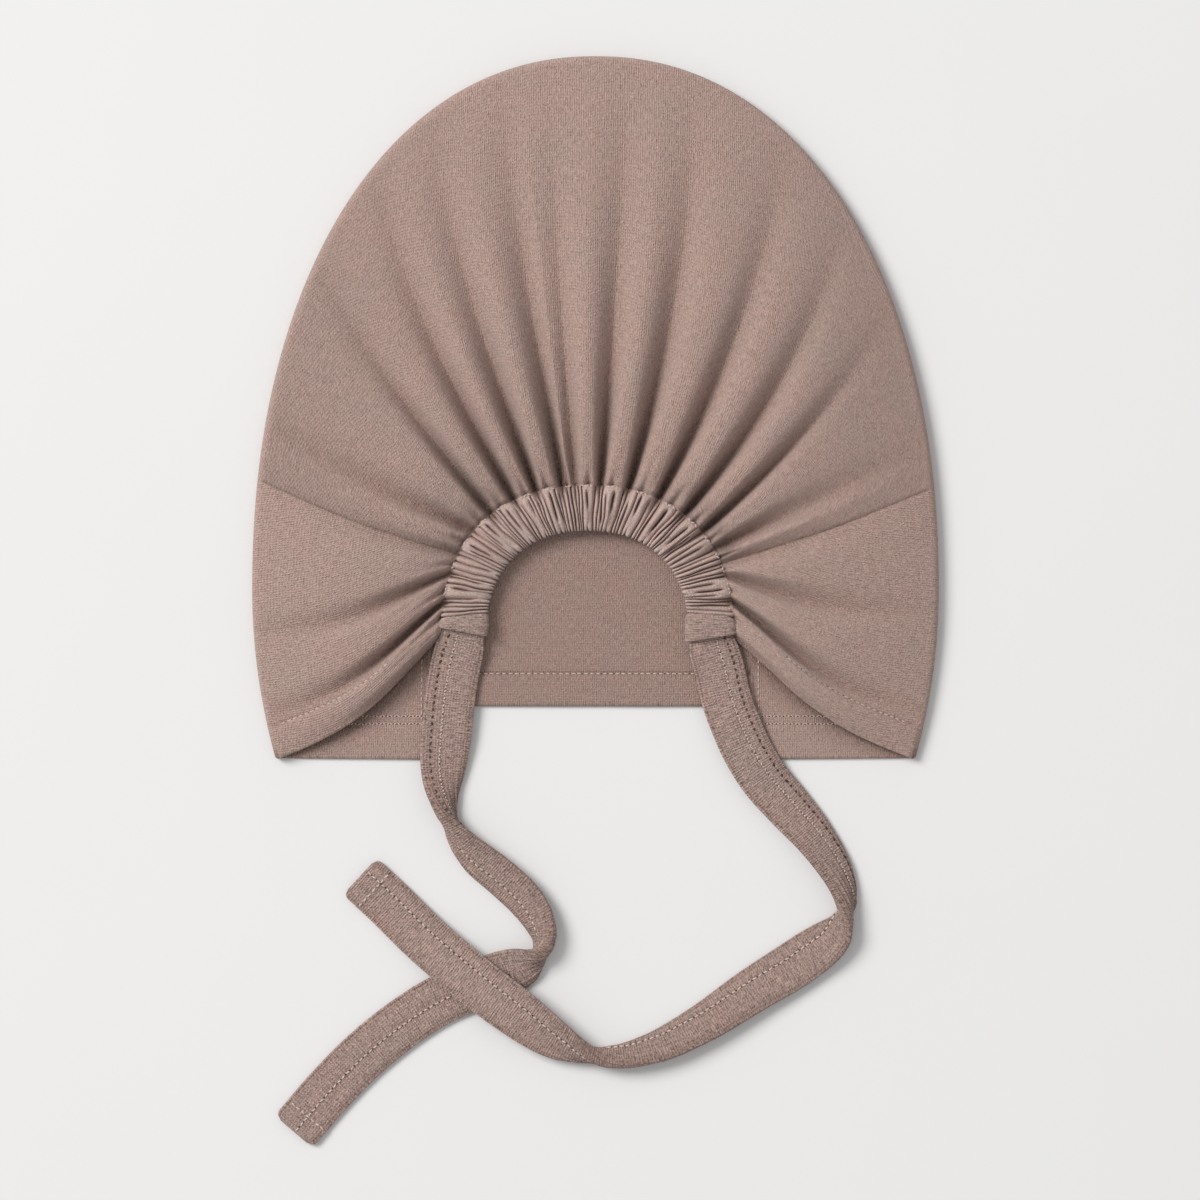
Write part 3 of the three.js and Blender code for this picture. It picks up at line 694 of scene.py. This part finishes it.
def foldHeights(columns, way):
    # heights of the upper face, for columns (n, 1) and ways along them (1, m)
    s = foldSettings
    loft = s["loft"] * columns["loft"][:, None]
    rim = s["rim"] * columns["rim"][:, None]
    bulge = (1 - (1 - way) ** s["loftRise"]) * (1 - way ** s["loftFall"])
    ridge = mix(s["stitchHeight"], rim, way) + loft * bulge
    rise = s["start"] + (1 - s["start"]) * (1 - np.exp(-way / s["rise"]))
    fade = (1 - way ** s["ending"]) / (1 + (way / s["reach"]) ** s["fading"])
    valley = valleyShape(columns["share"][:, None], columns["pitch"], columns["distance"])
    depth = s["depth"] * columns["depth"][:, None] * mix(valley, 1, columns["sunk"][:, None])
    height = ridge - depth * rise * fade - s["pinch"] * bell(columns["distance"], s["pinchWidth"])
    over = (height - s["lowest"]) * s["softening"]
    return s["lowest"] + np.log1p(np.exp(over)) / s["softening"]


def panelGrid(folds, panel, shifts, underEnd, seed):
    # grid of the panel's face: upper rows, the turn round the rim, then the rows underneath
    s = foldSettings
    columns = foldColumns(folds, panel["perFold"])
    count = len(columns["share"])
    way = np.linspace(0, 1, s["upperRows"]) ** s["rowCrowding"]
    upper = np.zeros((count, s["upperRows"], 3))
    distance, pitch = np.zeros(upper.shape[:2]), np.zeros(upper.shape[:2])
    rims = []
    for i in range(count):
        radius = s["rim"] * columns["rim"][i] / 2
        inward = outlineInward(columns["atRim"][i])
        foldMiddle = outlinePoint(columns["atRim"][i]) + inward * radius
        rims.append((radius, inward))
        start = casingOuter(columns["atCasing"][i]) + plan["seamGap"]
        dx, dy = foldMiddle - plan["archMiddle"]
        span = mix(start, math.hypot(dx, dy), way)
        turn = mix(way ** 2, 1 - (1 - way) ** s["earlyTurn"], columns["bend"][i])
        shift = shifts[0] if i == 0 else shifts[1] if i == count - 1 else 0
        angle = mix(columns["atCasing"][i], math.degrees(math.atan2(dx, dy)), turn)
        upper[i, :, :2] = fromArch(angle + np.degrees(shift / span), span)
        distance[i] = span - start
        a, b = folds[columns["fold"][i]], folds[columns["fold"][i] + 1]
        wide = mix(b["atCasing"] - a["atCasing"], b["atRim"] - a["atRim"], way)
        pitch[i] = np.radians(wide) * span
    columns.update(pitch=pitch, distance=distance)
    upper[:, :, 2] = foldHeights(columns, way[None, :])

    # a dimple where each pipe is caught by the gathering stitches, and soft uneven ripples
    dice = random.Random(seed)
    for i, (a, b) in enumerate(zip(folds, folds[1:])):
        if b["atCasing"] - a["atCasing"] < s["narrow"]:
            continue
        middle = dice.uniform(0.42, 0.58)
        deep = s["dimple"] * dice.uniform(0.75, 1.25)
        long = s["dimpleLength"] * dice.uniform(0.7, 1.25)
        nick = bell(columns["share"] - middle, s["dimpleWidth"]) * (columns["fold"] == i)
        upper[:, :, 2] -= deep * nick[:, None] * bell(distance, long)
    for i, around in enumerate(columns["atCasing"]):
        for j in range(s["upperRows"]):
            x, y = upper[i, j, :2]
            far = distance[i, j]
            soft = noiseIn(s["rippleSize"], x, y, seed)
            soft += s["looseShare"] * noiseIn(s["looseSize"], x, y, seed + 9)
            fine = noiseIn(s["crumpleSize"], around, far, seed + 5)
            lift = s["ripple"] * soft + s["crumple"] * fine * math.exp(-far / s["crumpleReach"])
            upper[i, j, 2] += lift * (1 - way[j] ** s["calmFar"]) * min(far / s["calmNear"], 1)

    turns = np.radians(np.linspace(90, -90, s["rimRows"] + 2)[1:])
    steps = np.linspace(0, 1, panel["underRows"] + 1)[1:]
    below = []
    for i, (radius, inward) in enumerate(rims):
        middle = upper[i, -1]
        end = underEnd(middle, i / (count - 1))
        ring = [[*(middle[:2] - inward * math.cos(t) * radius), radius + math.sin(t) * radius]
                for t in turns]
        below.append(ring + [[mix(middle[0], end[0], k), mix(middle[1], end[1], k), 0.0]
                             for k in steps])
    return columns, np.concatenate([upper, np.array(below)], axis=1)


def knitOnPanel(grid):
    # stitch columns run along the folds, and straight up and down on the layer underneath
    knit = np.stack([runLengths(grid, 0), runLengths(grid, 1)], axis=2)
    knit[:, :, 0] -= knit[grid.shape[0] // 2, :, 0].copy()
    flat = foldSettings["upperRows"] + foldSettings["rimRows"]
    knit[:, flat:] = (grid[:, flat:, :2] + plan["knitStart"]) * plan["flatKnit"]
    return knit


def paintedValleyShadeOf(columns, grid):
    # painted shade in the folds: how deep in a valley each point of the upper face lies, stronger
    # near the gathers
    s = foldSettings
    shade = np.zeros(grid.shape[:2])
    valley = valleyShape(columns["share"][:, None], columns["pitch"], columns["distance"])
    near = bell(columns["distance"], s["farShade"], 1)
    near = near + s["nearShare"] * bell(columns["distance"], s["nearShade"], 1)
    shade[:, :s["upperRows"]] = valley ** 2 * columns["depth"][:, None] * near
    return shade


def reachFrom(grid, side):
    # distance of every point from the first (side below 0) or last column, across the cloth
    return runLengths(grid) if side < 0 else runLengths(grid[::-1])[::-1]


def sinkSeam(grid, paintedShading, side):
    # the seam between crown and side panel draws both cloths down into a groove, with painted shade
    # along it
    s = foldSettings
    rows = s["upperRows"]
    reach = reachFrom(grid, side)[:, :rows]
    grid[:, :rows, 2] -= s["seamDip"] * bell(reach, s["seamWidth"])
    paintedShading[:, :rows] += s["seamShade"] * bell(reach, 0.6 * s["seamWidth"])


def innerFace(grid, normals, thickness):
    # the cloth's other face, which keeps off the floor in the layer underneath
    inner = grid - normals * thickness
    below = inner[:, foldSettings["upperRows"]:, 2]
    below[:] = np.maximum(below, plan["clothBelow"])
    return inner


def panelSeam(side):
    return plan["panelSeamLeft"] if side < 0 else plan["panelSeamRight"]


crownSettings = {"perFold": 28, "underRows": 22, "seed": 11, "tuck": 0.985, "leastUnder": 0.4}


def addCrown(s):
    gap = plan["seamGap"] / 2

    def underEnd(rim, share):
        # on the front seam, which runs out to the side seam's place on the outline
        x = rim[0] * s["tuck"]
        corner = outlinePoint(crownFolds[0 if x < 0 else -1]["atRim"])
        out = (abs(x) - panelSeam(x)) / (abs(corner[0]) - panelSeam(x))
        seamY = mix(plan["frontSeamY"], corner[1], min(max(out, 0), 1))
        return x, min(seamY + plan["seamGap"], rim[1] - s["leastUnder"])

    columns, grid = panelGrid(crownFolds, s, (gap, -gap), underEnd, s["seed"])
    paintedShading = paintedValleyShadeOf(columns, grid)
    sinkSeam(grid, paintedShading, -1)
    sinkSeam(grid, paintedShading, 1)
    inner = innerFace(grid, gridNormals(grid), plan["cloth"])
    return addCloth("crown_cloth", "crown", grid, inner, knitOnPanel(grid), paintedShading)


crown = addCrown(crownSettings)
print("crown draped in", len(crownFolds) - 1, "pipes")


flapSettings = {
    "perFold": 44, "underRows": 62, "leftSeed": 23, "rightSeed": 31,
    "hemWidth": 10.5, "hemRise": 0.45, "hemGroove": 0.5, "grooveWidth": 0.75, "grooveShade": 0.2,
    "edgeShade": 1.0, "edgeReach": 3.2, "edgeFalloff": 1.2,
    "hemClear": 19, "hemFadeIn": 6,  # the hem's line starts this far from the gathers
}


def addFlap(word, side, folds, s):
    edgeColumn = 0 if side < 0 else -1
    hemCorner = outlinePoint(folds[edgeColumn]["atRim"])
    gap = plan["seamGap"] / 2
    shifts = (0, -gap) if side < 0 else (gap, 0)

    def underEnd(rim, share):
        down = 1 - share if side < 0 else share
        return side * (panelSeam(side) + gap), mix(plan["frontSeamY"] - gap, hemCorner[1], down)

    columns, grid = panelGrid(folds, s, shifts, underEnd, s[word + "Seed"])
    distance = columns["distance"]
    paintedShading = paintedValleyShadeOf(columns, grid)
    sinkSeam(grid, paintedShading, -side)
    reach = reachFrom(grid, side)
    normals = gridNormals(grid)
    upperRows = foldSettings["upperRows"]
    clear = np.ones_like(reach)
    begins = distance - s["hemClear"]
    clear[:, :upperRows] = smooth(-s["hemFadeIn"], s["hemFadeIn"], begins)
    hem = (1 - smooth(s["hemWidth"] - 0.5, s["hemWidth"] + 0.3, reach)) * clear
    groove = bell(reach - s["hemWidth"], s["grooveWidth"]) * clear
    raised = hem * s["hemRise"] - groove * s["hemGroove"]
    raised[:, upperRows:] = 0
    grid = grid + normals * raised[:, :, None]
    inner = innerFace(grid, normals, (plan["cloth"] + hem * s["hemRise"])[:, :, None])
    # painted shade in the hem's groove
    paintedShading[:, :upperRows] += s["grooveShade"] * groove[:, :upperRows]

    # painted shadow on the cloth underneath, where the hem's edge lies over it
    edge = grid[edgeColumn, :upperRows, :2]
    covered = grid[:, upperRows:, :2]
    beside = np.min(np.linalg.norm(covered[:, :, None, :] - edge[None, None, :, :], axis=3), axis=2)
    paintedShading[:, upperRows:] += s["edgeShade"] * bell(beside, s["edgeReach"], s["edgeFalloff"])
    flap = addCloth("side_panel_cloth_" + word, "side_panel_" + word, grid, inner,
                    knitOnPanel(grid), paintedShading)

    # the hem's sewn row follows the cloth at one distance from the edge
    line, ups = [], []
    for j in range(3, upperRows - 2):
        if begins[edgeColumn, j] < 0:
            continue
        rows = np.arange(len(reach))
        at = np.interp(s["hemWidth"], reach[::-side, j], rows)
        at = at if side < 0 else len(reach) - 1 - at
        line.append([np.interp(at, rows, grid[:, j, c]) for c in range(3)])
        ups.append([np.interp(at, rows, normals[:, j, c]) for c in range(3)])
    return flap, (np.array(line), np.array(ups))


leftFlap, leftHem = addFlap("left", -1, leftFlapFolds, flapSettings)
rightFlap, rightHem = addFlap("right", 1, rightFlapFolds, flapSettings)
print("side panels draped")


hemStitch = {"pitch": 2.2, "length": 1.55, "width": 0.48, "rise": 0.26, "sink": 0.0, "seed": 13}
hemHole = {"pitch": 2.2, "length": 0.42, "width": 0.36, "rise": 0.1, "sink": -0.02, "seed": 14,
           "start": 0.0}
coverStitch = {"pitch": 1.25, "length": 1.2, "width": 0.42, "rise": 0.2, "sink": 0.02, "seed": 15,
               "slant": 0.6}
coverHole = {"pitch": 1.25, "length": 0.6, "width": 0.5, "rise": 0.16, "sink": 0.02, "seed": 17,
             "start": 0.0}


def sewTwice(name, runs, stitch, hole):
    # the thread, and dark beads between its stitches as painted shade of the needle holes
    return [sewRuns(name + "_stitches", runs, stitch, threadMaterial),
            sewRuns(name + "_holes", runs, hole, paintedHoleShade)]


def upright(count):
    return np.repeat([[0.0, 0, 1]], count, axis=0)


def flatRun(x0, y0, x1, y1, height, count=120):
    shares = np.linspace(0, 1, count)
    return np.array([[mix(x0, x1, k), mix(y0, y1, k), height] for k in shares]), upright(count)


sewnHems = sewTwice("side_hem", [leftHem, rightHem], hemStitch, hemHole)


# forehead panel: flat, its lower edge turned up into a hem, with the seams to the side panels

foreheadSettings = {
    "hemWidth": 10.5, "hemRise": 0.6, "columns": 118, "rows": 90, "hemRows": 9, "hemRowSpread": 1.4,
    "grooveDepth": 0.5, "grooveWidth": 0.7, "grooveShade": 0.3, "shade": 0.25,
    "ripple": 0.28, "rippleSize": (26, 30), "rippleLift": 0.4,
    "knitStart": 300, "threadRise": 0.15, "stitchPoints": 160,
}


def addForehead(s):
    gap = plan["seamGap"] / 2
    left, right = gap - plan["panelSeamLeft"], plan["panelSeamRight"] - gap
    low = plan["foreheadEdgeY"]
    hemTop = low + s["hemWidth"]
    xs = np.linspace(left, right, s["columns"])
    ys = np.linspace(low, plan["frontSeamY"] - gap, s["rows"])
    byHem = hemTop + np.linspace(-s["hemRowSpread"], s["hemRowSpread"], s["hemRows"])
    ys = np.sort(np.concatenate([ys, byHem]))
    grid = np.zeros((len(xs), len(ys), 3))
    grid[:, :, 0], grid[:, :, 1] = np.meshgrid(xs, ys, indexing="ij")
    hem = 1 - smooth(hemTop - 0.3, hemTop + 0.5, grid[:, :, 1])
    groove = bell(grid[:, :, 1] - hemTop, s["grooveWidth"])
    wave = np.array([[noiseIn(s["rippleSize"], x, y, 4) for y in ys] for x in xs])
    grid[:, :, 2] = plan["cloth"] + hem * s["hemRise"] - groove * s["grooveDepth"]
    grid[:, :, 2] += s["ripple"] * (wave + s["rippleLift"])
    inner = grid * (1, 1, 0)
    knit = (grid[:, :, :2] + s["knitStart"]) * plan["flatKnit"]
    # painted shade in the hem's groove, and the whole panel evenly a little darker
    paintedShading = s["grooveShade"] * groove + s["shade"]
    forehead = addCloth("forehead_cloth", "forehead_panel", grid, inner, knit, paintedShading)
    return forehead, flatRun(left + 1, hemTop, right - 1, hemTop, plan["cloth"] + s["threadRise"],
                             s["stitchPoints"])


forehead, foreheadHem = addForehead(foreheadSettings)
sewnForehead = sewTwice("forehead_hem", [foreheadHem], hemStitch, hemHole)

# the inside of the side panels shows two overlocked rows and the seam beside the forehead panel
flankSettings = {
    "rowsY": (-108.2, -110.9), "outer": 112, "inner": 0.8,
    "seamBeside": 2.4, "seamTop": -88, "seamBottom": -121, "threadRise": 0.05,
}


def sewFlanks(s):
    height = plan["cloth"] + s["threadRise"]
    rows, seams = [], []
    for side in (-1, 1):
        inner = side * (panelSeam(side) + s["inner"])
        rows += [flatRun(side * s["outer"], y, inner, y, height) for y in s["rowsY"]]
        x = side * (panelSeam(side) + s["seamBeside"])
        seams.append(flatRun(x, s["seamTop"], x, s["seamBottom"], height))
    covers = sewTwice("flank_cover", rows, coverStitch, coverHole)
    return covers + [sewRuns("flank_seam_stitches", seams, hemStitch, threadMaterial)]


sewnFlanks = sewFlanks(flankSettings)
print("forehead panel and hems sewn")


# gathered channel: an open fold of cloth round the arch, thrown into fine uneven ruffles

casingSettings = {
    "outerAngle": 84.2, "innerAngle": 79,
    "floor": 2.1, "crest": 8, "lowest": 1.15, "hollow": 3.6, "leastCloth": 0.9, "leastLining": 0.5,
    "lipLining": 1.6, "lip": 0.12,
    "perRuffle": 10,
    # shade and gapShade give painted shade, and the crest and edge values painted highlight
    "depth": 2.2, "fullness": 2.0, "slit": 1.6, "slitFullness": 2.4, "shade": 0.62, "paintedCrestLight": 0.75,
    "paintedEdgeLight": 0.5, "gapShade": 1.3,
    "scallop": 1.5, "nip": 0.5, "wobble": 0.42, "wobbleRadius": 44, "lift": 0.7, "seed": 41,
    "knitPerDegree": 1.7, "broadWave": 4.2,
    "section": [
        (1.0, 0.76), (0.9, 0.86), (0.75, 0.95), (0.55, 1.0), (0.36, 1.0), (0.2, 0.98), (0.1, 0.93),
        (0.03, 0.8), (0.0, 0.58), (0.02, 0.3), (0.1, 0.08), (0.3, 0.0), (0.6, 0.0), (1.0, 0.0),
    ],
    "sectionSteps": 40,
    # lines between ruffles as shares of a pipe's width, for pipes wider than so many degrees
    "widePipe": 8.3, "wideLines": ((0, 0.17, 0.5, 0.72, 0.87), (0, 0.14, 0.29, 0.5, 0.83)),
    "middlePipe": 4.6, "middleLines": (0, 0.3, 0.66), "narrowLines": (0, 0.5),
}


def ruffleEdges(s):
    # lines between the ruffles by outer angle: each pipe runs on as two broad ruffles with a short
    # slit between them, and narrow ones beside them; a line shows from one share of the channel's
    # width to another
    dice = random.Random(s["seed"])
    starts = [a["atCasing"] for a, _ in pipes if abs(a["atCasing"]) < s["outerAngle"] - 2]
    starts = [-s["outerAngle"], *starts, s["outerAngle"]]
    edges = []
    for a, b in zip(starts, starts[1:]):
        width = b - a
        wide = width > s["widePipe"]
        if wide:
            shares = s["wideLines"][0 if dice.random() < 0.5 else 1]
        else:
            shares = s["middleLines"] if width > s["middlePipe"] else s["narrowLines"]
        for share in shares:
            edge = {"depth": s["depth"] * dice.uniform(0.65, 1.15), "from": -0.5, "to": 1.6,
                    "fullness": s["fullness"]}
            edge["angle"] = a + width * (share + (dice.uniform(-0.045, 0.045) if share else 0))
            if share == 0.5 and wide:
                edge["depth"] *= s["slit"] * dice.uniform(0.7, 1.1)
                edge["fullness"] = s["slitFullness"]
                edge["from"], edge["to"] = dice.uniform(0.25, 0.55), dice.uniform(0.86, 0.95)
            elif share and dice.random() < 0.3:
                edge["to"] = dice.uniform(0.7, 0.95)
            elif share and dice.random() < 0.25:
                edge["from"] = dice.uniform(0.1, 0.3)
            edge["lift"] = s["lift"] * dice.uniform(-1, 0.9)
            edge["seed"] = dice.uniform(0, 90)
            edges.append(edge)
    return edges + [{**edges[0], "angle": s["outerAngle"], "lift": 0}]


def stitchLineHeight(angle):
    # height of the crown's or a flap's cloth at the gathering stitches
    s = foldSettings
    for a, b in pipes:
        wide = b["atCasing"] - a["atCasing"]
        share = (angle - a["atCasing"]) / wide
        if 0 <= share <= 1:
            valley = float(valleyShape(share, math.radians(wide) * casingOuter(angle), 0))
            sunk = valleyDepth(a, b, share) * mix(valley, 1, a["sunk"])
            return s["stitchHeight"] - s["depth"] * sunk * s["start"]
    return s["stitchHeight"]


def ruffleWobble(edge, across, s):
    # sideways wander of a line between ruffles, in degrees, none at the gathering stitches
    wander = np.array([noiseAt(x * 1.7, edge["seed"], 2) for x in across])
    held = 1 - np.clip(across, 0, 1) ** 3
    return np.degrees(s["wobble"] * 2 * wander * held / s["wobbleRadius"])


def ruffleWindow(edge, across):
    shown = smooth(edge["from"] - 0.12, edge["from"] + 0.16, across)
    return shown * (1 - smooth(edge["to"] - 0.12, edge["to"] + 0.06, across))


def addCasing(s):
    edges = ruffleEdges(s)
    shares = np.linspace(0, 1, s["sectionSteps"] + 1)
    section = [np.array([*p, 0.0]) for p in s["section"]]
    curve = np.array([splinePoint(section, k, False) for k in shares])
    across, rise = curve[:, 0], curve[:, 1]
    onTop = smooth(0.12, 0.6, rise) * (shares < 0.75)
    plain = mix(s["floor"], s["crest"], rise)
    lining = np.where(onTop > 0.5, plain - s["hollow"], s["floor"] + plan["cloth"])
    deepest = foldSettings["depth"] * foldSettings["start"]
    outer, inner, knit, paintedShading = [], [], [], []
    for i, (a, b) in enumerate(zip(edges, edges[1:])):
        wobbleA, wobbleB = ruffleWobble(a, across, s), ruffleWobble(b, across, s)
        for k in range(s["perRuffle"] + (i == len(edges) - 2)):
            phase = crowded(k / s["perRuffle"], 0.45)
            off = abs(2 * phase - 1)
            middle = mix(a["angle"], b["angle"], phase)
            angles = middle + mix(wobbleA, wobbleB, phase)
            near = a if phase < 0.5 else b
            valley = off ** near["fullness"] * ruffleWindow(near, across)

            # height: the crown's folds come in at the outer edge, and each ruffle has its own lift
            stitched = stitchLineHeight(middle) - foldSettings["stitchHeight"]
            broad = noiseAt(middle / s["broadWave"], 0.3, 7) * 0.5
            shift = stitched * smooth(0.35, 1.0, across) + broad * smooth(0, 0.4, across)
            lift = a["lift"] * (1 - off ** 2) * smooth(0, 0.25, across)
            shift = shift + lift * (1 - smooth(0.8, 1.0, across))
            shift = shift - s["nip"] * bell(1 - across, 0.07)
            shift = shift - valley * near["depth"] * (1 - 0.35 * smooth(0.85, 1.0, across))
            height = plain + shift * onTop
            height = np.where(onTop > 0.5, np.maximum(height, s["floor"] + s["lowest"]), height)

            back = s["scallop"] * off ** 2.5 * bell(across, 0.3)
            turn = angles / s["outerAngle"] * s["innerAngle"]
            innerLine = fromArch(turn, np.array([archEdge(t) for t in turn]))
            outerLine = fromArch(angles, np.array([casingOuter(t) for t in angles]))
            width = np.linalg.norm(outerLine - innerLine, axis=1)
            top = mix(innerLine, outerLine, (across + back / width)[:, None])
            shelf = mix(innerLine, outerLine, np.clip(across, s["lip"], 1)[:, None])
            lower = np.minimum(lining, height - s["leastCloth"])
            lower = np.maximum(lower, s["floor"] + s["leastLining"])
            lower = np.where(across > s["lip"], lower, s["floor"] + s["lipLining"])
            outer.append(np.column_stack([top, height]))
            inner.append(np.column_stack([shelf, lower]))
            around = np.full(len(across), middle * s["knitPerDegree"])
            knit.append(np.stack([around, runLengths(outer[-1])], axis=1))

            # painted shade between the ruffles, painted highlight on their crests and along the
            # inner edge, and painted shade again where the gathers go down
            shaded = valley ** 2 * s["shade"] * near["depth"] / s["depth"]
            shaded = shaded - s["paintedCrestLight"] * (1 - valley) - s["paintedEdgeLight"] * bell(across, 0.14)
            shaded = shaded + s["gapShade"] * (stitched / deepest) ** 2 * bell(1 - across, 0.16)
            paintedShading.append(onTop * shaded)
    faces = [np.array(values)[::-1] for values in (outer, inner, knit, paintedShading)]
    print("channel gathered into", len(edges) - 1, "ruffles")
    return addCloth("gathered_channel_cloth", "gathered_casing", *faces, bulge=0.3)


casing = addCasing(casingSettings)

gatherStitch = {"pitch": 1.5, "length": 1.25, "width": 0.5, "rise": 0.3, "sink": 0.0, "seed": 19,
                "slant": 0.7,
                # where on a pipe the run of stitches lies
                "share": 0.24, "inside": 0.15, "below": 0.75, "points": 12}


def sewGathers(s):
    # small stitches that catch the end of each pipe
    runs = []
    for a, b in pipes:
        ends = a["atCasing"], b["atCasing"]
        beyond = max(map(abs, ends)) > casingSettings["outerAngle"]
        if beyond or ends[1] - ends[0] < foldSettings["narrow"]:
            continue
        angles = np.linspace(mix(*ends, s["share"]), mix(*ends, 1 - s["share"]), s["points"])
        line = [[*fromArch(angle, casingOuter(angle) - s["inside"]),
                 stitchLineHeight(angle) - s["below"]] for angle in angles]
        runs.append((np.array(line), upright(s["points"])))
    return sewRuns("gathering_stitches", runs, s, threadMaterial)


sewnGathers = sewGathers(gatherStitch)


# channel ends: flat sleeves that the bands come out of

sleeveSettings = {
    "height": 5.6, "gap": 0.15, "pocketInset": 1.1, "pocketShare": 0.68, "pocketShade": 0.5,
    "edgeRoundness": 0.5, "faceRoundness": 0.8, "sides": 56, "puff": 0.5,
    "ripple": 0.35, "rippleSize": (5, 2.2),
    "hemShare": 0.8, "hemDip": 0.3, "hemWidth": 0.045, "knitStart": 500,
    # rings as share of the length and inset: into the channel, and round the lip at the mouth
    "rootRings": ((-0.1, 1.3), (-0.02, 0.9), (0.02, 0.3)),
    "lipRings": ((0.985, 0.12), (1.0, 0.42), (1.0, 0.75), (0.985, 0.98)),
    # how far the mouth lies from the root, (x, y) at the outer and at the inner edge
    "left": {"side": -1, "outerReach": (-1.6, -3.4), "innerReach": (-0.5, -8.2), "seed": 3},
    "right": {"side": 1, "outerReach": (1.5, -5.8), "innerReach": (-0.4, -10.2), "seed": 6},
}


def rounded(value, power):
    return math.copysign(abs(value) ** power, value)


def sleeveRing(start, end, inset, swell, s):
    middle = (start + end) / 2
    halfWidth = np.linalg.norm(end - start) / 2 - inset + swell
    halfHeight = s["height"] / 2 - inset + swell
    ring = []
    for turn in turnsOf(s["sides"]):
        across = halfWidth * rounded(math.cos(turn), s["edgeRoundness"])
        up = halfHeight * rounded(math.sin(turn), s["faceRoundness"])
        ring.append([*(middle + unit(end - start) * across),
                     casingSettings["floor"] + s["height"] / 2 + up])
    return ring


def addSleeve(word, s):
    c, end, gap = casingSettings, s[word], s["gap"]
    side = end["side"]
    outerTop = fromArch(side * c["outerAngle"], casingOuter(c["outerAngle"])) + (-side * gap, -gap)
    innerTop = fromArch(side * c["innerAngle"], archEdge(c["innerAngle"])) + (0, -gap)
    outerMouth, innerMouth = outerTop + end["outerReach"], innerTop + end["innerReach"]

    def ring(share, inset, swell=0.0):
        a, b = mix(outerTop, outerMouth, share), mix(innerTop, innerMouth, share)
        return sleeveRing(b, a, inset, swell, s) if side < 0 else sleeveRing(a, b, inset, swell, s)

    root = [ring(*place) for place in s["rootRings"]]
    body = []
    for share in np.linspace(0.06, 0.9, 16):
        dip = s["hemDip"] * bell(share - s["hemShare"], s["hemWidth"])
        body.append(ring(share, 0.0, s["puff"] * math.sin(math.pi * share) ** 0.7 - dip))
    lip = [ring(0.95, 0.0, 0.05)] + [ring(*place) for place in s["lipRings"]]
    pocket = [ring(share, s["pocketInset"]) for share in np.linspace(0.94, 1 - s["pocketShare"], 8)]
    grid = np.array(root + body + lip + pocket)
    for points in grid[len(root):len(root) + len(body)]:
        for point in points:
            point[2] += s["ripple"] * noiseIn(s["rippleSize"], point[0], point[1], end["seed"])
    points = grid.reshape(-1, 3)
    uvs = [(y + s["knitStart"], x) for x, y, _ in points]
    paintedShadings = np.zeros(grid.shape[:2])
    # painted shade inside the mouth, over the inner lip rings and the pocket
    paintedShadings[2 - len(lip) - len(pocket):] = s["pocketShade"]
    return addPiece("channel_end_cloth_" + word, points, tubeFaces(len(grid), s["sides"]), uvs,
                    bandJersey, paintedShadings.ravel(), "casing_end_" + word)


leftSleeve = addSleeve("left", sleeveSettings)
rightSleeve = addSleeve("right", sleeveSettings)
print("channel ends closed over the bands")


# pale floor and soft studio light, brighter from the upper left

floorSettings = {
    "size": 6000, "drop": 0.05, "tone": (0.80, 0.797, 0.795), "toneSpread": 0.01, "mottle": 9,
    "roughness": 0.9, "specular": 0.1,
}


def addFloor(s):
    half, low = s["size"] / 2 * mm, -s["drop"] * mm
    mesh = bpy.data.meshes.new("floor")
    corners = [(-half, -half, low), (half, -half, low), (half, half, low), (-half, half, low)]
    mesh.from_pydata(corners, [], [(0, 1, 2, 3)])
    floor = bpy.data.objects.new("floor", mesh)
    scene.collection.objects.link(floor)
    material = bpy.data.materials.new("paleFloor")
    material.use_nodes = True
    tree = material.node_tree
    surface = tree.nodes["Principled BSDF"]
    setInputs(surface, {"Roughness": s["roughness"], "Specular IOR Level": s["specular"]})
    place = tree.nodes.new("ShaderNodeTexCoord").outputs["Object"]
    tint = tree.nodes.new("ShaderNodeValToRGB")
    for stop, share in zip(tint.color_ramp.elements, (1 - s["toneSpread"], 1 + s["toneSpread"])):
        stop.color = (*[c * share for c in s["tone"]], 1)
    tree.links.new(noiseNode(tree, place, (s["mottle"],) * 3, 2), tint.inputs["Fac"])
    tree.links.new(tint.outputs["Color"], surface.inputs["Base Color"])
    mesh.materials.append(material)


lightSettings = {
    "skyTone": (1.0, 1.0, 1.0), "skyStrength": 0.51,
    "keyPlace": (-3800, 2320, 3990), "keyAim": (0, -50, 0), "keySize": 3100, "keyPower": 311,
    "keyTone": (1.0, 0.99, 0.98),
}


def addLights(s):
    world = bpy.data.worlds.new("studio")
    world.use_nodes = True
    setInputs(world.node_tree.nodes["Background"],
              {"Color": (*s["skyTone"], 1), "Strength": s["skyStrength"]})
    scene.world = world
    data = bpy.data.lights.new("key", "AREA")
    data.shape = "DISK"
    data.size = s["keySize"] * mm
    data.energy = s["keyPower"]
    data.color = s["keyTone"]
    key = bpy.data.objects.new("key", data)
    key.location = Vector(s["keyPlace"]) * mm
    aim = Vector(s["keyAim"]) * mm - key.location
    key.rotation_euler = aim.to_track_quat("-Z", "Y").to_euler()
    scene.collection.objects.link(key)


addFloor(floorSettings)
addLights(lightSettings)
scene.view_settings.view_transform = "Standard"
print("floor and lights set")
